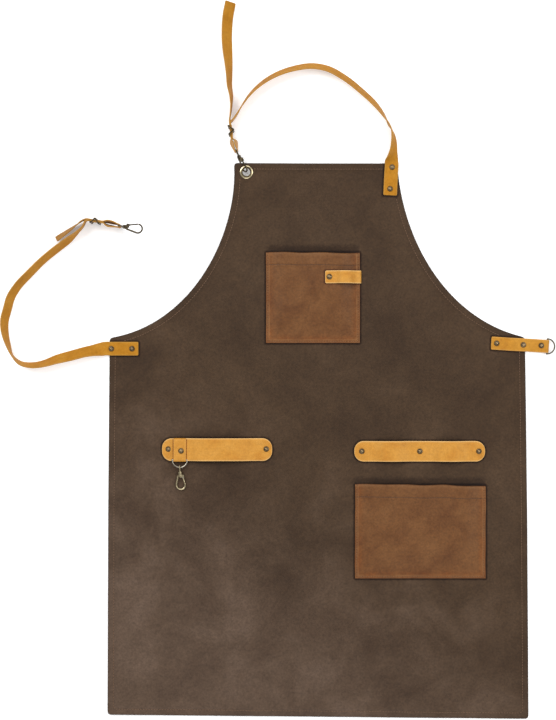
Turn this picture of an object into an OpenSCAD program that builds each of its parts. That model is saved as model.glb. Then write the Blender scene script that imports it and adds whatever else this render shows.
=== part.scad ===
// Butcher apron: leather panel, pockets and straps with antique brass hardware.
// Lies face up. X across the body, Y from hem to bib, Z up. Millimetres.

/* [Leather] */
// Thickness of the panel leather
panel_t = 1.4; // [1.2:0.1:1.6]
// Thickness at the turned edge
hem_z = 2.5; // [2.3:0.1:2.8]
// Width of the turned edge
hem_w = 9.5; // [8:0.5:12]
// Thickness of the strap leather
strap_t = 1.8; // [1.6:0.1:1.8]
// Width of the neck and waist straps
strap_w = 20; // [18:1:20]

/* [Pockets] */
// Thickness of the pocket leather
pocket_t = 1.6; // [1.4:0.1:1.8]
// Room between a pocket wall and the panel
pocket_room = 5; // [4.6:0.2:6]

/* [Hardware] */
// Radius of a rivet cap
cap_r = 4; // [3.6:0.1:4.2]
// Radius of the hook wire
wire_r = 1.1; // [1:0.05:1.2]
// Inner radius of the eyelet
eyelet_r = 5.6; // [5.4:0.1:5.8]

/* [Hidden] */
$fn = 40;

leather_c = [0.31, 0.25, 0.20];
pocket_c = [0.47, 0.33, 0.21];
tan_c = [0.84, 0.60, 0.29];
brass_c = [0.48, 0.43, 0.30];
thread_c = [0.42, 0.34, 0.27];

half_t = strap_t / 2;
cap_h = 1.7;
post_r = 1.5;
hole_r = 1.6;
head_h = 0.8;

// ---- outline of the panel ----
function bez(a, b, c, d, t) = (1-t)*(1-t)*(1-t)*a + 3*(1-t)*(1-t)*t*b + 3*(1-t)*t*t*c + t*t*t*d;
arm_n = 22;
right_arm = [for (i = [0:arm_n]) bez([115,401],[122,281],[193,172],[300,149], i/arm_n)];
left_arm = [for (i = [0:arm_n]) bez([-302,148],[-178,167],[-115,305],[-122,401], i/arm_n)];
outline = concat(left_arm, right_arm, [[303,-100],[305,-404],[-305,-398],[-304,-100]]);
function unit2(v) = v / norm(v);
function inset_pt(p, i, d) = let (n = len(p), a = unit2(p[i]-p[(i+n-1)%n]), b = unit2(p[(i+1)%n]-p[i]),
    na = [a[1],-a[0]], nb = [b[1],-b[0]], m = na+nb) p[i] + d*m/(1 + na*nb);
function inset(p, d) = [for (i = [0:len(p)-1]) inset_pt(p, i, d)];

// ---- bib corner that the hook lifts ----
fold_a = [20, 401];
fold_b = [-150, 245];
lift_deg = 5;
module corner_zone() translate([0,0,-20]) linear_extrude(60)
    polygon([[20,401]+[85,78]*1.4, fold_a, fold_b, [-150,245]-[85,78]*0.5, [-400,300], [-400,600], [0,600]]);
module lift() translate([fold_a[0],fold_a[1],0]) rotate(a = lift_deg, v = [170,156,0]) translate([-fold_a[0],-fold_a[1],0]) children();
module draped() {
    difference() { children(); corner_zone(); }
    lift() intersection() { children(); corner_zone(); }
}

// ---- fasteners ----
// each rivet: x, y, underside of the back head, top of the leather stack
neck_rivets = [[107.3,395.3,0.1,hem_z+strap_t+0.05],[104.3,364,0.1,panel_t+strap_t+0.05]];
waist_rivets = [[-299.2,132.4,0.1,hem_z+strap_t+0.05],[-269.5,132.4,0.1,panel_t+strap_t+0.05]];
side_rivets = [[258.7,140.2,0.1,panel_t+strap_t+0.05],[297.2,138,0.1,hem_z+strap_t+0.05],[323.2,137,0.3,4.85]];
towel_l_rivets = [[-216.8,-13,0.1,panel_t+strap_t+0.05],[-75,-13,0.1,panel_t+strap_t+0.05]];
towel_r_rivets = [[63.4,-16.2,0.1,panel_t+strap_t+0.05],[147.5,-16.2,0.1,panel_t+strap_t+0.05],[233,-16.2,0.1,panel_t+strap_t+0.05]];
key_rivet = [[-198.2,-15.4,2.25,8.3]];
pen_rivet = [[16.2,236.5,panel_t+pocket_room+0.1,panel_t+pocket_room+pocket_t+strap_t+0.05]];
panel_rivets = concat(neck_rivets, waist_rivets, [side_rivets[0], side_rivets[1]], towel_l_rivets, towel_r_rivets);
module rivet_caps(list) color(brass_c) for (r = list) translate([r[0],r[1],r[3]]) difference() {
    rotate_extrude() polygon([[0,0],[cap_r,0],[cap_r,0.5],[cap_r-0.4,1.05],[cap_r-1.3,1.45],[cap_r-2.4,cap_h],[1.2,cap_h],[0.6,cap_h-0.15],[0,cap_h-0.2]]);
    translate([0,0,-0.1]) cylinder(r = post_r+0.04, h = 1);
}
module rivet_posts(list) color(brass_c) for (r = list) translate([r[0],r[1],0]) {
    translate([0,0,r[2]]) cylinder(r = cap_r, h = head_h);
    translate([0,0,r[2]]) cylinder(r = post_r, h = r[3]-r[2]+0.8);
}
module holes(list, r = hole_r) for (h = list) translate([h[0],h[1],-5]) cylinder(r = r, h = 40);
module recesses(list) for (h = list) translate([h[0],h[1],h[2]-0.2]) cylinder(r = cap_r+0.2, h = head_h+0.3);

// ---- panel ----
eye_c = [-104, 388];
module panel_blank() difference() {
    linear_extrude(panel_t) polygon(outline);
    translate([eye_c[0],eye_c[1],-1]) cylinder(r = eyelet_r+0.5, h = 10);
}
module apron_panel() color(leather_c) difference() {
    draped() panel_blank();
    holes(panel_rivets);
    recesses(panel_rivets);
}
// the edge is folded over and stitched down; it is pressed flat where a strap's tab lies on it
module edge_band() difference() {
    union() {
        translate([0,0,panel_t]) linear_extrude(hem_z-panel_t) difference() { polygon(outline); polygon(inset(outline, hem_w)); }
        translate([eye_c[0],eye_c[1],panel_t]) cylinder(r = 11, h = hem_z-panel_t);
    }
    translate([eye_c[0],eye_c[1],-1]) cylinder(r = eyelet_r+0.5, h = 10);
    translate([104.4,354.6,0]) rotate([0,0,87.2]) translate([-0.4,-10.4,0]) cube([37.2,20.8,6]);
    translate([-260.3,132.4,0]) rotate([0,0,180]) translate([-0.4,-10.4,0]) cube([31.2,20.8,6]);
    side_frame() translate([-0.4,-10,0]) cube([39.6,20,6]);
}
module panel_turned_edge() color(leather_c) difference() {
    draped() edge_band();
    holes(panel_rivets);
}
module hem_line() difference() {
    translate([0,0,hem_z]) linear_extrude(0.35) difference() { polygon(inset(outline, 8)); polygon(inset(outline, 8.8)); }
    translate([90,345,0]) cube([30,70,20]);
    translate([-310,120,0]) cube([60,25,20]);
    translate([245,124,0]) cube([70,28,20]);
    translate([eye_c[0],eye_c[1],0]) cylinder(r = 11.5, h = 20);
}
module panel_hem_stitch() color(thread_c) draped() hem_line();
module eyelet() color(brass_c) lift() translate([eye_c[0],eye_c[1],0]) rotate_extrude() union() {
    translate([eyelet_r,-1.1]) square([0.45,hem_z+2]);
    polygon([[eyelet_r,hem_z+0.02],[9.8,hem_z+0.02],[9.8,hem_z+0.35],[9.1,hem_z+0.95],[7.6,hem_z+1.25],[6.3,hem_z+1.1],[eyelet_r,hem_z+0.7]]);
}
module eyelet_washer() color(brass_c) lift() translate([eye_c[0],eye_c[1],-0.65]) difference() {
    cylinder(r = 9.4, h = 0.62);
    translate([0,0,-1]) cylinder(r = eyelet_r+0.5, h = 3);
}

// ---- strips bent from sheet: side profile in (along, z) ----
function seg_n(p, i) = let (n = len(p), a = i == 0 ? p[1]-p[0] : i == n-1 ? p[n-1]-p[n-2] : unit2(p[i]-p[i-1])+unit2(p[i+1]-p[i]), u = unit2(a)) [-u[1], u[0]];
function ribbon2(p, t) = concat([for (i = [0:len(p)-1]) p[i] - t/2*seg_n(p,i)], [for (i = [len(p)-1:-1:0]) p[i] + t/2*seg_n(p,i)]);
// strip along +X, centred on Y
module strip(p, w, t = strap_t) translate([0,w/2,0]) rotate([90,0,0]) linear_extrude(w) polygon(ribbon2(p, t));
// smooth rise between two levels
function ramp(x0, z0, x1, z1, n = 8) = [for (i = [0:n]) let (t = i/n) [x0+(x1-x0)*t, z0+(z1-z0)*(3*t*t-2*t*t*t)]];

low = panel_t + half_t + 0.05;
mid_h = hem_z + half_t + 0.05;

// ---- towel straps ----
module rounded_end_plan(x0, x1, y0, y1, r) translate([0,0,-1]) linear_extrude(30) union() {
    translate([x0+r,y0]) square([x1-x0-2*r, y1-y0]);
    translate([x0,y0+r]) square([x1-x0, y1-y0-2*r]);
    for (x = [x0+r, x1-r], y = [y0+r, y1-r]) translate([x,y]) circle(r);
}
towel_l_path = concat(ramp(-226,low,-221,low,1), ramp(-212.7,low,-209.4,5.2,4), ramp(-190,5.2,-170,8.6,6), ramp(-122,8.6,-88,low,10), ramp(-81,low,-66,low,1));
module towel_strap_left() color(tan_c) difference() {
    intersection() {
        translate([0,-13.8,0]) strip(towel_l_path, 34);
        rounded_end_plan(-226, -66.5, -30.3, 2.7, 14);
    }
    translate([-212.9,-60,0]) cube([25.4,33,20]);
    translate([-210.2,0.7,0]) cube([20,20,20]);
    holes(concat(towel_l_rivets, key_rivet));
}
towel_r_path = concat(ramp(52,low,70,low,1), ramp(78,low,98,8.6,8), ramp(114,8.6,133,low,8), ramp(140,low,155,low,1),
    ramp(162,low,182,8.6,8), ramp(199,8.6,218,low,8), ramp(226,low,243,low,1));
module towel_strap_right() color(tan_c) difference() {
    intersection() {
        translate([0,-16.3,0]) strip(towel_r_path, 34);
        rounded_end_plan(52.5, 242, -31.2, -1.4, 14.8);
    }
    holes(towel_r_rivets);
}

// ---- key hanger loop ----
key_x = -200.2;
key_bar = [-28.5, 5.2];
fold_r = 1.35;
module key_hanger_loop() color(tan_c) difference() {
    translate([key_x-9.1,0,0]) rotate([90,0,90]) linear_extrude(18.2) difference() {
        union() { for (y = [key_bar[0], 0.2]) translate([y,key_bar[1]]) circle(fold_r+strap_t-0.1); translate([key_bar[0],key_bar[1]-fold_r-strap_t+0.1]) square([0.2-key_bar[0],2*(fold_r+strap_t-0.1)]); }
        union() { for (y = [key_bar[0], 0.2]) translate([y,key_bar[1]]) circle(fold_r); translate([key_bar[0],key_bar[1]-fold_r]) square([0.2-key_bar[0],2*fold_r]); }
    }
    holes(key_rivet);
    recesses(key_rivet);
}
module d_ring(r, w) {
    rotate([0,0,180]) rotate_extrude(angle = 180) translate([r,0]) circle(w, $fn = 24);
    translate([-r,0,0]) rotate([0,90,0]) cylinder(r = w, h = 2*r, $fn = 24);
    for (s = [-1,1]) translate([s*r,0,0]) sphere(w, $fn = 24);
}
module key_d_ring() color(brass_c) translate([key_x,key_bar[0],key_bar[1]]) d_ring(10.9, wire_r);

// ---- side tab and its ring ----
side_o = [250.9,140.6];
side_rot = -3.4;
side_bar = [81, 3.35];
module side_frame() translate([side_o[0],side_o[1],0]) rotate([0,0,side_rot]) children();
side_path = concat([[0,low],[30,low]], ramp(33,low,39,mid_h,4), [[50,mid_h],[61,mid_h]], ramp(63,mid_h,67,3.95,3), ramp(76.4,3.95,80.3,5.55,4),
    [for (a = [70:-28:-70]) [side_bar[0]+2.2*cos(a), side_bar[1]+2.2*sin(a)]], [[80,1.15],[72,1.5],[64,1.3],[55,1.1]]);
module side_tab() color(tan_c) difference() {
    side_frame() strip(side_path, 19.2, strap_t-0.1);
    holes(side_rivets);
    side_frame() for (s = [-1,1]) translate([77.5,s*11.1-2,-2]) cube([10,4,12]);
    translate([side_rivets[2][0],side_rivets[2][1],0]) cylinder(r = cap_r+0.2, h = side_rivets[2][2]+head_h+0.1);
}
module side_d_ring() color(brass_c) side_frame() translate([side_bar[0],0,side_bar[1]]) rotate([0,0,90]) d_ring(10.9, wire_r);

// ---- pen loop ----
pk_top = panel_t + pocket_room + pocket_t;
pen_path = concat([[10.2,pk_top+half_t+0.05],[22,pk_top+half_t+0.05]], ramp(24,pk_top+half_t+0.05,34,pk_top+half_t+4.9,6), ramp(42,pk_top+half_t+4.9,58,5.2,8), [[61.2,4.6],[62,3.6],[62,1.7]]);
module pen_loop() color(tan_c) difference() {
    translate([0,236.2,0]) strip(pen_path, 18.6, strap_t-0.2);
    holes(pen_rivet);
}

// ---- pockets: shell closed at the sides and bottom, open at the top edge ----
module slab(x0, x1, y0, y1, z0, z1) translate([x0,y0,z0]) cube([x1-x0,y1-y0,z1-z0]);
module pocket(x0, x1, y0, y1) difference() {
    union() {
        slab(x0, x1, y0, y1, panel_t, panel_t+pocket_t);
        hull() { slab(x0+8, x1-8, y0+8, y1, panel_t, panel_t+pocket_t); slab(x0+13, x1-13, y0+13, y1, panel_t, pk_top); }
    }
    hull() {
        slab(x0+10, x1-10, y0+10, y1+5, panel_t-1, panel_t+0.2);
        slab(x0+14.5, x1-14.5, y0+14.5, y1+5, panel_t-1, panel_t+pocket_room);
    }
}
cp = [-75.5, 60.8, 140.5, 272];
lp = [53.4, 243, -200.5, -65];
module chest_pocket() color(pocket_c) difference() {
    pocket(cp[0], cp[1], cp[2], cp[3]);
    holes(pen_rivet);
    translate([pen_rivet[0][0],pen_rivet[0][1],0]) cylinder(r = cap_r+0.2, h = panel_t+pocket_room+0.95);
}
module lower_pocket() color(pocket_c) pocket(lp[0], lp[1], lp[2], lp[3]);
module u_thread(p) translate([0,0,panel_t+pocket_t]) linear_extrude(0.35) difference() {
    translate([p[0]+2.4,p[2]+2.4]) square([p[1]-p[0]-4.8, p[3]-p[2]-3.4]);
    translate([p[0]+3.2,p[2]+3.2]) square([p[1]-p[0]-6.4, p[3]-p[2]]);
}
module chest_pocket_edge_stitch() color(thread_c) difference() { u_thread(cp); slab(50, 70, 226, 247, 0, 20); }
module lower_pocket_edge_stitch() color(thread_c) u_thread(lp);
module chest_pocket_hem_stitch() color(thread_c) slab(cp[0]+14, cp[1]-14, cp[3]-18.4, cp[3]-17.6, pk_top, pk_top+0.35);
module lower_pocket_hem_stitch() color(thread_c) slab(lp[0]+14, lp[1]-14, lp[3]-18.9, lp[3]-18.1, pk_top, pk_top+0.35);

// ---- strap ribbons: rows of x, y, z, roll (0 flat, 90 on edge) ----
function xyz(p) = [p[0],p[1],p[2]];
function gap(p, i) = norm(xyz(p[i+1])-xyz(p[i]));
function slope(p, i) = let (n = len(p)) i == 0 ? (p[1]-p[0])/gap(p,0) : i == n-1 ? (p[n-1]-p[n-2])/gap(p,n-2) :
    let (a = gap(p,i-1), b = gap(p,i)) ((p[i]-p[i-1])/a*b + (p[i+1]-p[i])/b*a)/(a+b);
function herm(p, i, t) = let (d = gap(p,i), m0 = slope(p,i)*d, m1 = slope(p,i+1)*d, t2 = t*t, t3 = t2*t)
    (2*t3-3*t2+1)*p[i] + (t3-2*t2+t)*m0 + (3*t2-2*t3)*p[i+1] + (t3-t2)*m1;
function smooth(p, k) = concat([for (i = [0:len(p)-2]) for (j = [0:k-1]) herm(p, i, j/k)], [p[len(p)-1]]);
function unit3(v) = v / norm(v);
function tangent(q, i) = let (n = len(q), a = xyz(q[max(0,i-1)]), b = xyz(q[min(n-1,i+1)])) unit3(b-a);
function ring(q, i, w, t) = let (T = tangent(q,i), H = unit3(cross([0,0,1],T)), V = cross(T,H), r = q[i][3],
    W = cos(r)*H + sin(r)*V, N = cross(T,W), c = xyz(q[i]))
    [c-w/2*W-t/2*N, c+w/2*W-t/2*N, c+w/2*W+t/2*N, c-w/2*W+t/2*N];
module ribbon(q, w, t) {
    n = len(q);
    pts = [for (i = [0:n-1]) for (c = ring(q,i,w,t)) c];
    faces = concat([[0,1,2,3]], [for (i = [0:n-2]) for (k = [0:3]) let (a = 4*i+k, b = 4*i+(k+1)%4)
        each [[a, a+4, b+4], [a, b+4, b]]], [[4*n-1,4*n-2,4*n-3,4*n-4]]);
    polyhedron(points = pts, faces = faces, convexity = 10);
}
function edge_z(r) = strap_w/2*sin(r) + half_t*abs(cos(r)) + 0.25;
function row(x, y, r) = [x, y, edge_z(r), r];

// loop end in a slider's frame: s towards the hook, t across; side = +1 or -1 is the run's side
on_z = 13.4;
bend_r = 2.15;
function to_world(o, a, s, t, z) = [o[0]+s*cos(a)-t*sin(a), o[1]+s*sin(a)+t*cos(a), z, 90];
// eye = bar centre in the slider frame
function loop_rows(o, a, side, e, ez) = concat(
    [for (s = [-13,-4,5,12]) to_world(o, a, s, side*0.95, on_z)],
    [to_world(o, a, e[0]*0.62, e[1]*0.45+side*2.6, (on_z+ez)/2)],
    [for (k = [0:6]) let (g = atan2(e[1],e[0]), b = g+side*(105-35*k)) to_world(o, a, e[0]+bend_r*cos(b), e[1]+bend_r*sin(b), ez)],
    [to_world(o, a, e[0]*0.62, e[1]*0.45-side*2.6, (on_z+ez)/2)],
    [for (s = [12,5,-4,-13]) to_world(o, a, s, -side*0.95, on_z)]);

// ---- slider: three bars across the strap, joined by two rails ----
bar_r = 1.1;
module slider_plate() {
    h = strap_w/2 + 0.9;
    for (p = [[-6,-3.3],[0,3.3],[6,-3.3]]) translate([p[0],p[1],-h-0.6]) cylinder(r = bar_r, h = 2*h+1.2);
    for (z = [-h-1.7, h-0.1]) translate([0,0,z]) linear_extrude(1.8)
        polygon(concat([for (x = [-7.2:1.2:7.2]) [x, 3.3*cos(30*x)-1.35]], [for (x = [7.2:-1.2:-7.2]) [x, 3.3*cos(30*x)+1.35]]));
}
module slider_at(o, a, flip) color(brass_c) translate([o[0],o[1],on_z]) rotate([0,0,a]) mirror([0,flip,0]) slider_plate();

// ---- snap hook, axis +X, ring in the XY plane ----
module rod(p, q, r, f = 24) { v = q-p; l = norm(v); translate(p) rotate([0, acos(v[2]/l), atan2(v[1],v[0])]) cylinder(r = r, h = l, $fn = f); }
module ball(p, r) translate(p) sphere(r, $fn = 24);
ring_a = 13;
b_neck = 11.6;
b_waist = 9.2;
b_key = 8.2;
module boss(b0) translate([b0-3,0,0]) rotate([0,90,0]) cylinder(r = 2.9, h = 2.8);
module boss_bore(b0) translate([b0-9,0,0]) rotate([0,90,0]) cylinder(r = hole_r, h = 12);
module strap_eye(b) color(brass_c) difference() {
    union() {
        h = strap_w/2 + 1.4;
        translate([0,0,-h]) cylinder(r = wire_r, h = 2*h, $fn = 24);
        for (s = [-1,1]) {
            ball([0,0,s*h], wire_r); rod([0,0,s*h],[4.4,0,s*h], wire_r); ball([4.4,0,s*h], wire_r); rod([4.4,0,s*h],[b-1.6,0,s*2.3], wire_r);
        }
        boss(b);
    }
    boss_bore(b);
}
module ring_eye() color(brass_c) difference() {
    union() {
        translate([-3.4,0,-3]) cylinder(r = 0.9, h = 6, $fn = 24);
        for (s = [-1,1]) { ball([-3.4,0,s*3], 0.92); translate([-3.4,0,s*3]) rotate([0,90,0]) cylinder(r = 0.9, h = 10, $fn = 24); }
        boss(b_key);
    }
    boss_bore(b_key);
}
// a hook is [ring radius, wire radius, length to the tip]; distances are from the barrel's start
small_hook = [5.8, 1.1, 23.4];
big_hook = [6.3, 1.25, 25.8];
mid_hook = [6.3, 1.25, 23.9];
pin_x = 5.4;
function arc_x(k) = k[2] - k[1] - k[0];
function tan_x(k) = arc_x(k) - k[0]*sin(ring_a);
function tan_y(k) = k[0]*cos(ring_a);
function pin_y(k) = tan_y(k) - (tan_x(k)-pin_x)*tan(ring_a);
module hook_body(k) color(brass_c) difference() {
    union() {
        translate([-4,0,0]) rotate([0,90,0]) cylinder(r = 1.95, h = 0.8);
        translate([-3.6,0,0]) rotate([0,90,0]) cylinder(r = hole_r-0.05, h = 4.6);
        rotate([0,90,0]) cylinder(r = 3.1, h = 4.1);
        translate([1.5,-0.6,-2.2]) cube([pin_x-1.5,pin_y(k)+2.1,4.4]);
        translate([pin_x,pin_y(k),-2.2]) cylinder(r = 1.5, h = 4.4);
        rod([2,-(tan_y(k)-(tan_x(k)-2)*tan(ring_a)),0],[tan_x(k),-tan_y(k),0], k[1]);
        translate([tan_x(k),-tan_y(k),0]) rotate([0,0,-ring_a]) rotate([0,90,0]) translate([0,0,-0.5]) cylinder(r = k[1]+0.12, h = 1, $fn = 24);
        translate([arc_x(k),0,0]) rotate([0,0,-90-ring_a]) rotate_extrude(angle = 180+ring_a) translate([k[0],0]) circle(k[1], $fn = 24);
    }
    translate([pin_x,pin_y(k),-5]) cylinder(r = 0.62, h = 10, $fn = 24);
    translate([3.6,pin_y(k)-1.8,-1.15]) cube([8,6,2.3]);
    translate([1.2,0.5,0]) rotate([0,90,0]) cylinder(r = 0.9, h = 8);
}
module hook_gate(k) color(brass_c) difference() {
    union() {
        translate([pin_x,pin_y(k),-1.05]) cylinder(r = 1.5, h = 2.1);
        rod([pin_x,pin_y(k),0],[arc_x(k)-0.6,pin_y(k)+(arc_x(k)-0.6-pin_x)*tan(ring_a),0], 1.05);
    }
    translate([pin_x,pin_y(k),-5]) cylinder(r = 0.66, h = 10, $fn = 24);
}
module gate_pin(k) color(brass_c) translate([pin_x,pin_y(k),-2.25]) cylinder(r = 0.6, h = 4.5, $fn = 24);
// closing spring: a short coil in the barrel's blind hole
coil = [for (i = [0:24]) [1.4+i*0.085, 0.5+0.62*cos(i*40), 0.62*sin(i*40)]];
module gate_spring() color(brass_c) {
    n = len(coil);
    pts = [for (i = [0:n-1]) let (T = unit3(coil[min(n-1,i+1)]-coil[max(0,i-1)]), U = unit3(cross(T,[1,0,0])), V = cross(T,U)) for (k = [0:4]) coil[i]+0.17*(cos(72*k)*U+sin(72*k)*V)];
    polyhedron(points = pts, faces = concat([[for (k = [4:-1:0]) k]], [for (i = [0:n-2]) for (k = [0:4]) let (a = 5*i+k, b = 5*i+(k+1)%5) each [[a,b,b+5],[a,b+5,a+5]]], [[for (k = [0:4]) 5*(n-1)+k]]));
}

// ---- neck strap ----
neck_dir = -64.3;
neck_tilt = 9.9;
neck_eye = [-118.7, 418.7, 12.5];
neck_roll = 60;
neck_o = [-125.5, 447];
neck_a = -84;
module neck_frame() translate(neck_eye) rotate([0,0,neck_dir]) rotate([0,neck_tilt,0]) children();
neck_e = let (d = [neck_eye[0]-neck_o[0], neck_eye[1]-neck_o[1]]) [d[0]*cos(neck_a)+d[1]*sin(neck_a), -d[0]*sin(neck_a)+d[1]*cos(neck_a)];
neck_rows = concat(
    [[106.4,403.6,mid_h+0.4,12],[107.2,408.5,5.8,33],row(108.3,414.5,49),row(109.2,421,58),row(109.6,430,64),row(108.8,440,73),row(105.4,451,86),row(102.2,456.5,90),row(96.4,467,78),
     row(84,484,66),row(61,506,62),row(38,524,60),row(14,537,59),row(-9,541,60),row(-32,538,62),row(-55,531,65),row(-78,518.5,70),row(-101,497,79),
     row(-111,482,85),[-119,468.5,11.4,90],[-124.2,461.6,12.9,90]],
    loop_rows(neck_o, neck_a, 1, neck_e, neck_eye[2]),
    [[-127.2,467,12.6,90],row(-125.5,484,86),row(-125.6,498,78),row(-128,512,72),row(-128.6,530,66),row(-129.5,545,58),row(-131.2,565,48),
     row(-132,590,44),row(-130.5,612,42),row(-126.6,634,42)]);
module neck_strap() color(tan_c) ribbon(smooth(neck_rows, 3), strap_w, strap_t);
module neck_strap_tab() color(tan_c) difference() {
    translate([104.4,0,0]) translate([0,354.6,0]) rotate([0,0,87.2]) strip(concat([[0,low],[28,low]], ramp(30,low,36.5,mid_h,4), [[47.6,mid_h]]), strap_w);
    holes(neck_rivets);
}
module neck_slider() slider_at(neck_o, neck_a, 0);
module neck_hook_eye() neck_frame() strap_eye(b_neck);
module neck_ring_frame() neck_frame() translate([b_neck,0,0]) rotate([neck_roll,0,0]) children();
module neck_hook_body() neck_ring_frame() hook_body(small_hook);
module neck_hook_gate() neck_ring_frame() hook_gate(small_hook);
module neck_gate_pin() neck_ring_frame() gate_pin(small_hook);
module neck_gate_spring() neck_ring_frame() gate_spring();

// ---- waist strap: tab and run part along the line that the strap folds over ----
module fold_side(x0) translate([-306.35,132.4,-10]) rotate([0,0,-19.54]) translate([x0,-30,0]) cube([30,60,40]);
waist_dir = -8;
waist_eye = [-287.5, 309.5, on_z];
waist_o = [-321.5, 316.5];
waist_a = -8;
waist_e = let (d = [waist_eye[0]-waist_o[0], waist_eye[1]-waist_o[1]]) [d[0]*cos(waist_a)+d[1]*sin(waist_a), -d[0]*sin(waist_a)+d[1]*cos(waist_a)];
module waist_frame() translate(waist_eye) rotate([0,0,waist_dir]) children();
waist_rows = concat(
    [[-299,132.6,mid_h,0],[-306.8,132.6,mid_h,0],[-314,131.5,mid_h,14],row(-324,130,34),row(-338,127.5,42),row(-358,122,44),row(-378,117,50),row(-398,110.5,62),row(-415,108.5,68),
     row(-431,112,78),row(-441.5,122,90),row(-448,138,78),row(-452.5,155,68),row(-453.5,171,62),row(-449,190,60),row(-444.5,206,61),
     row(-434,223,63),row(-417,241,64),row(-398,260,66),row(-377,277,66),row(-360,290,70),[-348,300.5,11.4,86],[-339.5,309,12.6,90]],
    loop_rows(waist_o, waist_a, -1, waist_e, waist_eye[2]),
    [[-340,317.4,12.9,88],[-347,312.6,12.3,84],[-356,306,11.2,76],row(-367,298.5,70),row(-378.5,290.5,64)]);
module waist_strap() color(tan_c) difference() {
    ribbon(smooth(waist_rows, 3), strap_w, strap_t);
    fold_side(-0.3);
}
module waist_strap_tab() color(tan_c) difference() {
    translate([-260.3,132.4,0]) rotate([0,0,180]) strip(concat([[0,low],[22,low]], ramp(24,low,30.5,mid_h,4), [[52,mid_h]]), strap_w);
    holes(waist_rivets);
    fold_side(-29.7);
}
module waist_slider() slider_at(waist_o, waist_a, 0);
module waist_hook_eye() waist_frame() strap_eye(b_waist);
module waist_ring_frame() waist_frame() translate([b_waist,0,0]) children();
module waist_hook_body() waist_ring_frame() hook_body(big_hook);
module waist_hook_gate() waist_ring_frame() hook_gate(big_hook);
module waist_gate_pin() waist_ring_frame() gate_pin(big_hook);
module waist_gate_spring() waist_ring_frame() gate_spring();

// ---- key hook ----
module key_frame() translate([key_x,-40.55,6.05]) rotate([0,0,-86.8]) rotate([0,5.2,0]) children();
module key_hook_eye() key_frame() ring_eye();
module key_ring_frame() key_frame() translate([b_key,0,0]) children();
module key_hook_body() key_ring_frame() hook_body(mid_hook);
module key_hook_gate() key_ring_frame() hook_gate(mid_hook);
module key_gate_pin() key_ring_frame() gate_pin(mid_hook);
module key_gate_spring() key_ring_frame() gate_spring();

apron_panel();
panel_turned_edge();
panel_hem_stitch();
chest_pocket();
chest_pocket_edge_stitch();
chest_pocket_hem_stitch();
lower_pocket();
lower_pocket_edge_stitch();
lower_pocket_hem_stitch();
pen_loop();
towel_strap_left();
towel_strap_right();
key_hanger_loop();
side_tab();
neck_strap_tab();
waist_strap_tab();
neck_strap();
waist_strap();
neck_slider();
waist_slider();
eyelet();
eyelet_washer();
key_d_ring();
side_d_ring();
neck_hook_eye();
neck_hook_body();
neck_hook_gate();
neck_gate_pin();
neck_gate_spring();
waist_hook_eye();
waist_hook_body();
waist_hook_gate();
waist_gate_pin();
waist_gate_spring();
key_hook_eye();
key_hook_body();
key_hook_gate();
key_gate_pin();
key_gate_spring();
rivet_caps(neck_rivets);  // neck_rivet_caps
rivet_posts(neck_rivets);  // neck_rivet_posts
rivet_caps(waist_rivets);  // waist_rivet_caps
rivet_posts(waist_rivets);  // waist_rivet_posts
rivet_caps(side_rivets);  // side_rivet_caps
rivet_posts(side_rivets);  // side_rivet_posts
rivet_caps(towel_l_rivets);  // towel_left_rivet_caps
rivet_posts(towel_l_rivets);  // towel_left_rivet_posts
rivet_caps(towel_r_rivets);  // towel_right_rivet_caps
rivet_posts(towel_r_rivets);  // towel_right_rivet_posts
rivet_caps(key_rivet);  // key_loop_rivet_cap
rivet_posts(key_rivet);  // key_loop_rivet_post
rivet_caps(pen_rivet);  // pen_loop_rivet_cap
rivet_posts(pen_rivet);  // pen_loop_rivet_post
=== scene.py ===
import bpy, math, random
import numpy as np
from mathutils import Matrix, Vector, geometry, noise


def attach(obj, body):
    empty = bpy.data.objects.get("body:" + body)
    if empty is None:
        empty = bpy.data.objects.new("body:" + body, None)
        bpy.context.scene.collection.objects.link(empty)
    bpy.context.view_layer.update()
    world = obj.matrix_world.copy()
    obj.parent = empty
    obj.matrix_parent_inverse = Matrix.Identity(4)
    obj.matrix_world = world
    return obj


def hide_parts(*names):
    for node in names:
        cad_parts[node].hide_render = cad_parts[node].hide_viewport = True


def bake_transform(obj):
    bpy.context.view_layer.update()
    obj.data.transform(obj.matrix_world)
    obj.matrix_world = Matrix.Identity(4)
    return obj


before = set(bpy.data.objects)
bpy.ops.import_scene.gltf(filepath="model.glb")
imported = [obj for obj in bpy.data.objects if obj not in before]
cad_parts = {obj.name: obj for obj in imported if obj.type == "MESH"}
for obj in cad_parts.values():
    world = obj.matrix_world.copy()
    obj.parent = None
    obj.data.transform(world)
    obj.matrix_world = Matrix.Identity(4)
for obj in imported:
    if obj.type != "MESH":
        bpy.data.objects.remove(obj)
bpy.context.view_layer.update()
MM = 0.001
random.seed(7)
T_ = math.radians


# ------------------------------------------------------------------ camera, light, floor
cam_data = bpy.data.cameras.new("cam")
cam_data.lens = 100
cam_data.sensor_width = 36
cam = bpy.data.objects.new("cam", cam_data)
cam.location = (-0.058, 0.116, 2.9)
cam.rotation_euler = (0, 0, 0)
bpy.context.scene.collection.objects.link(cam)
bpy.context.scene.camera = cam


def area_light(name, loc, size, power, target=(0, 0.08, 0)):
    d = bpy.data.lights.new(name, "AREA")
    d.shape, d.size, d.size_y, d.energy = "RECTANGLE", size[0], size[1], power
    o = bpy.data.objects.new(name, d)
    o.location = loc
    o.rotation_mode = "QUATERNION"
    o.rotation_quaternion = (Vector(target) - Vector(loc)).to_track_quat("-Z", "Y")
    bpy.context.scene.collection.objects.link(o)


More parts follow.
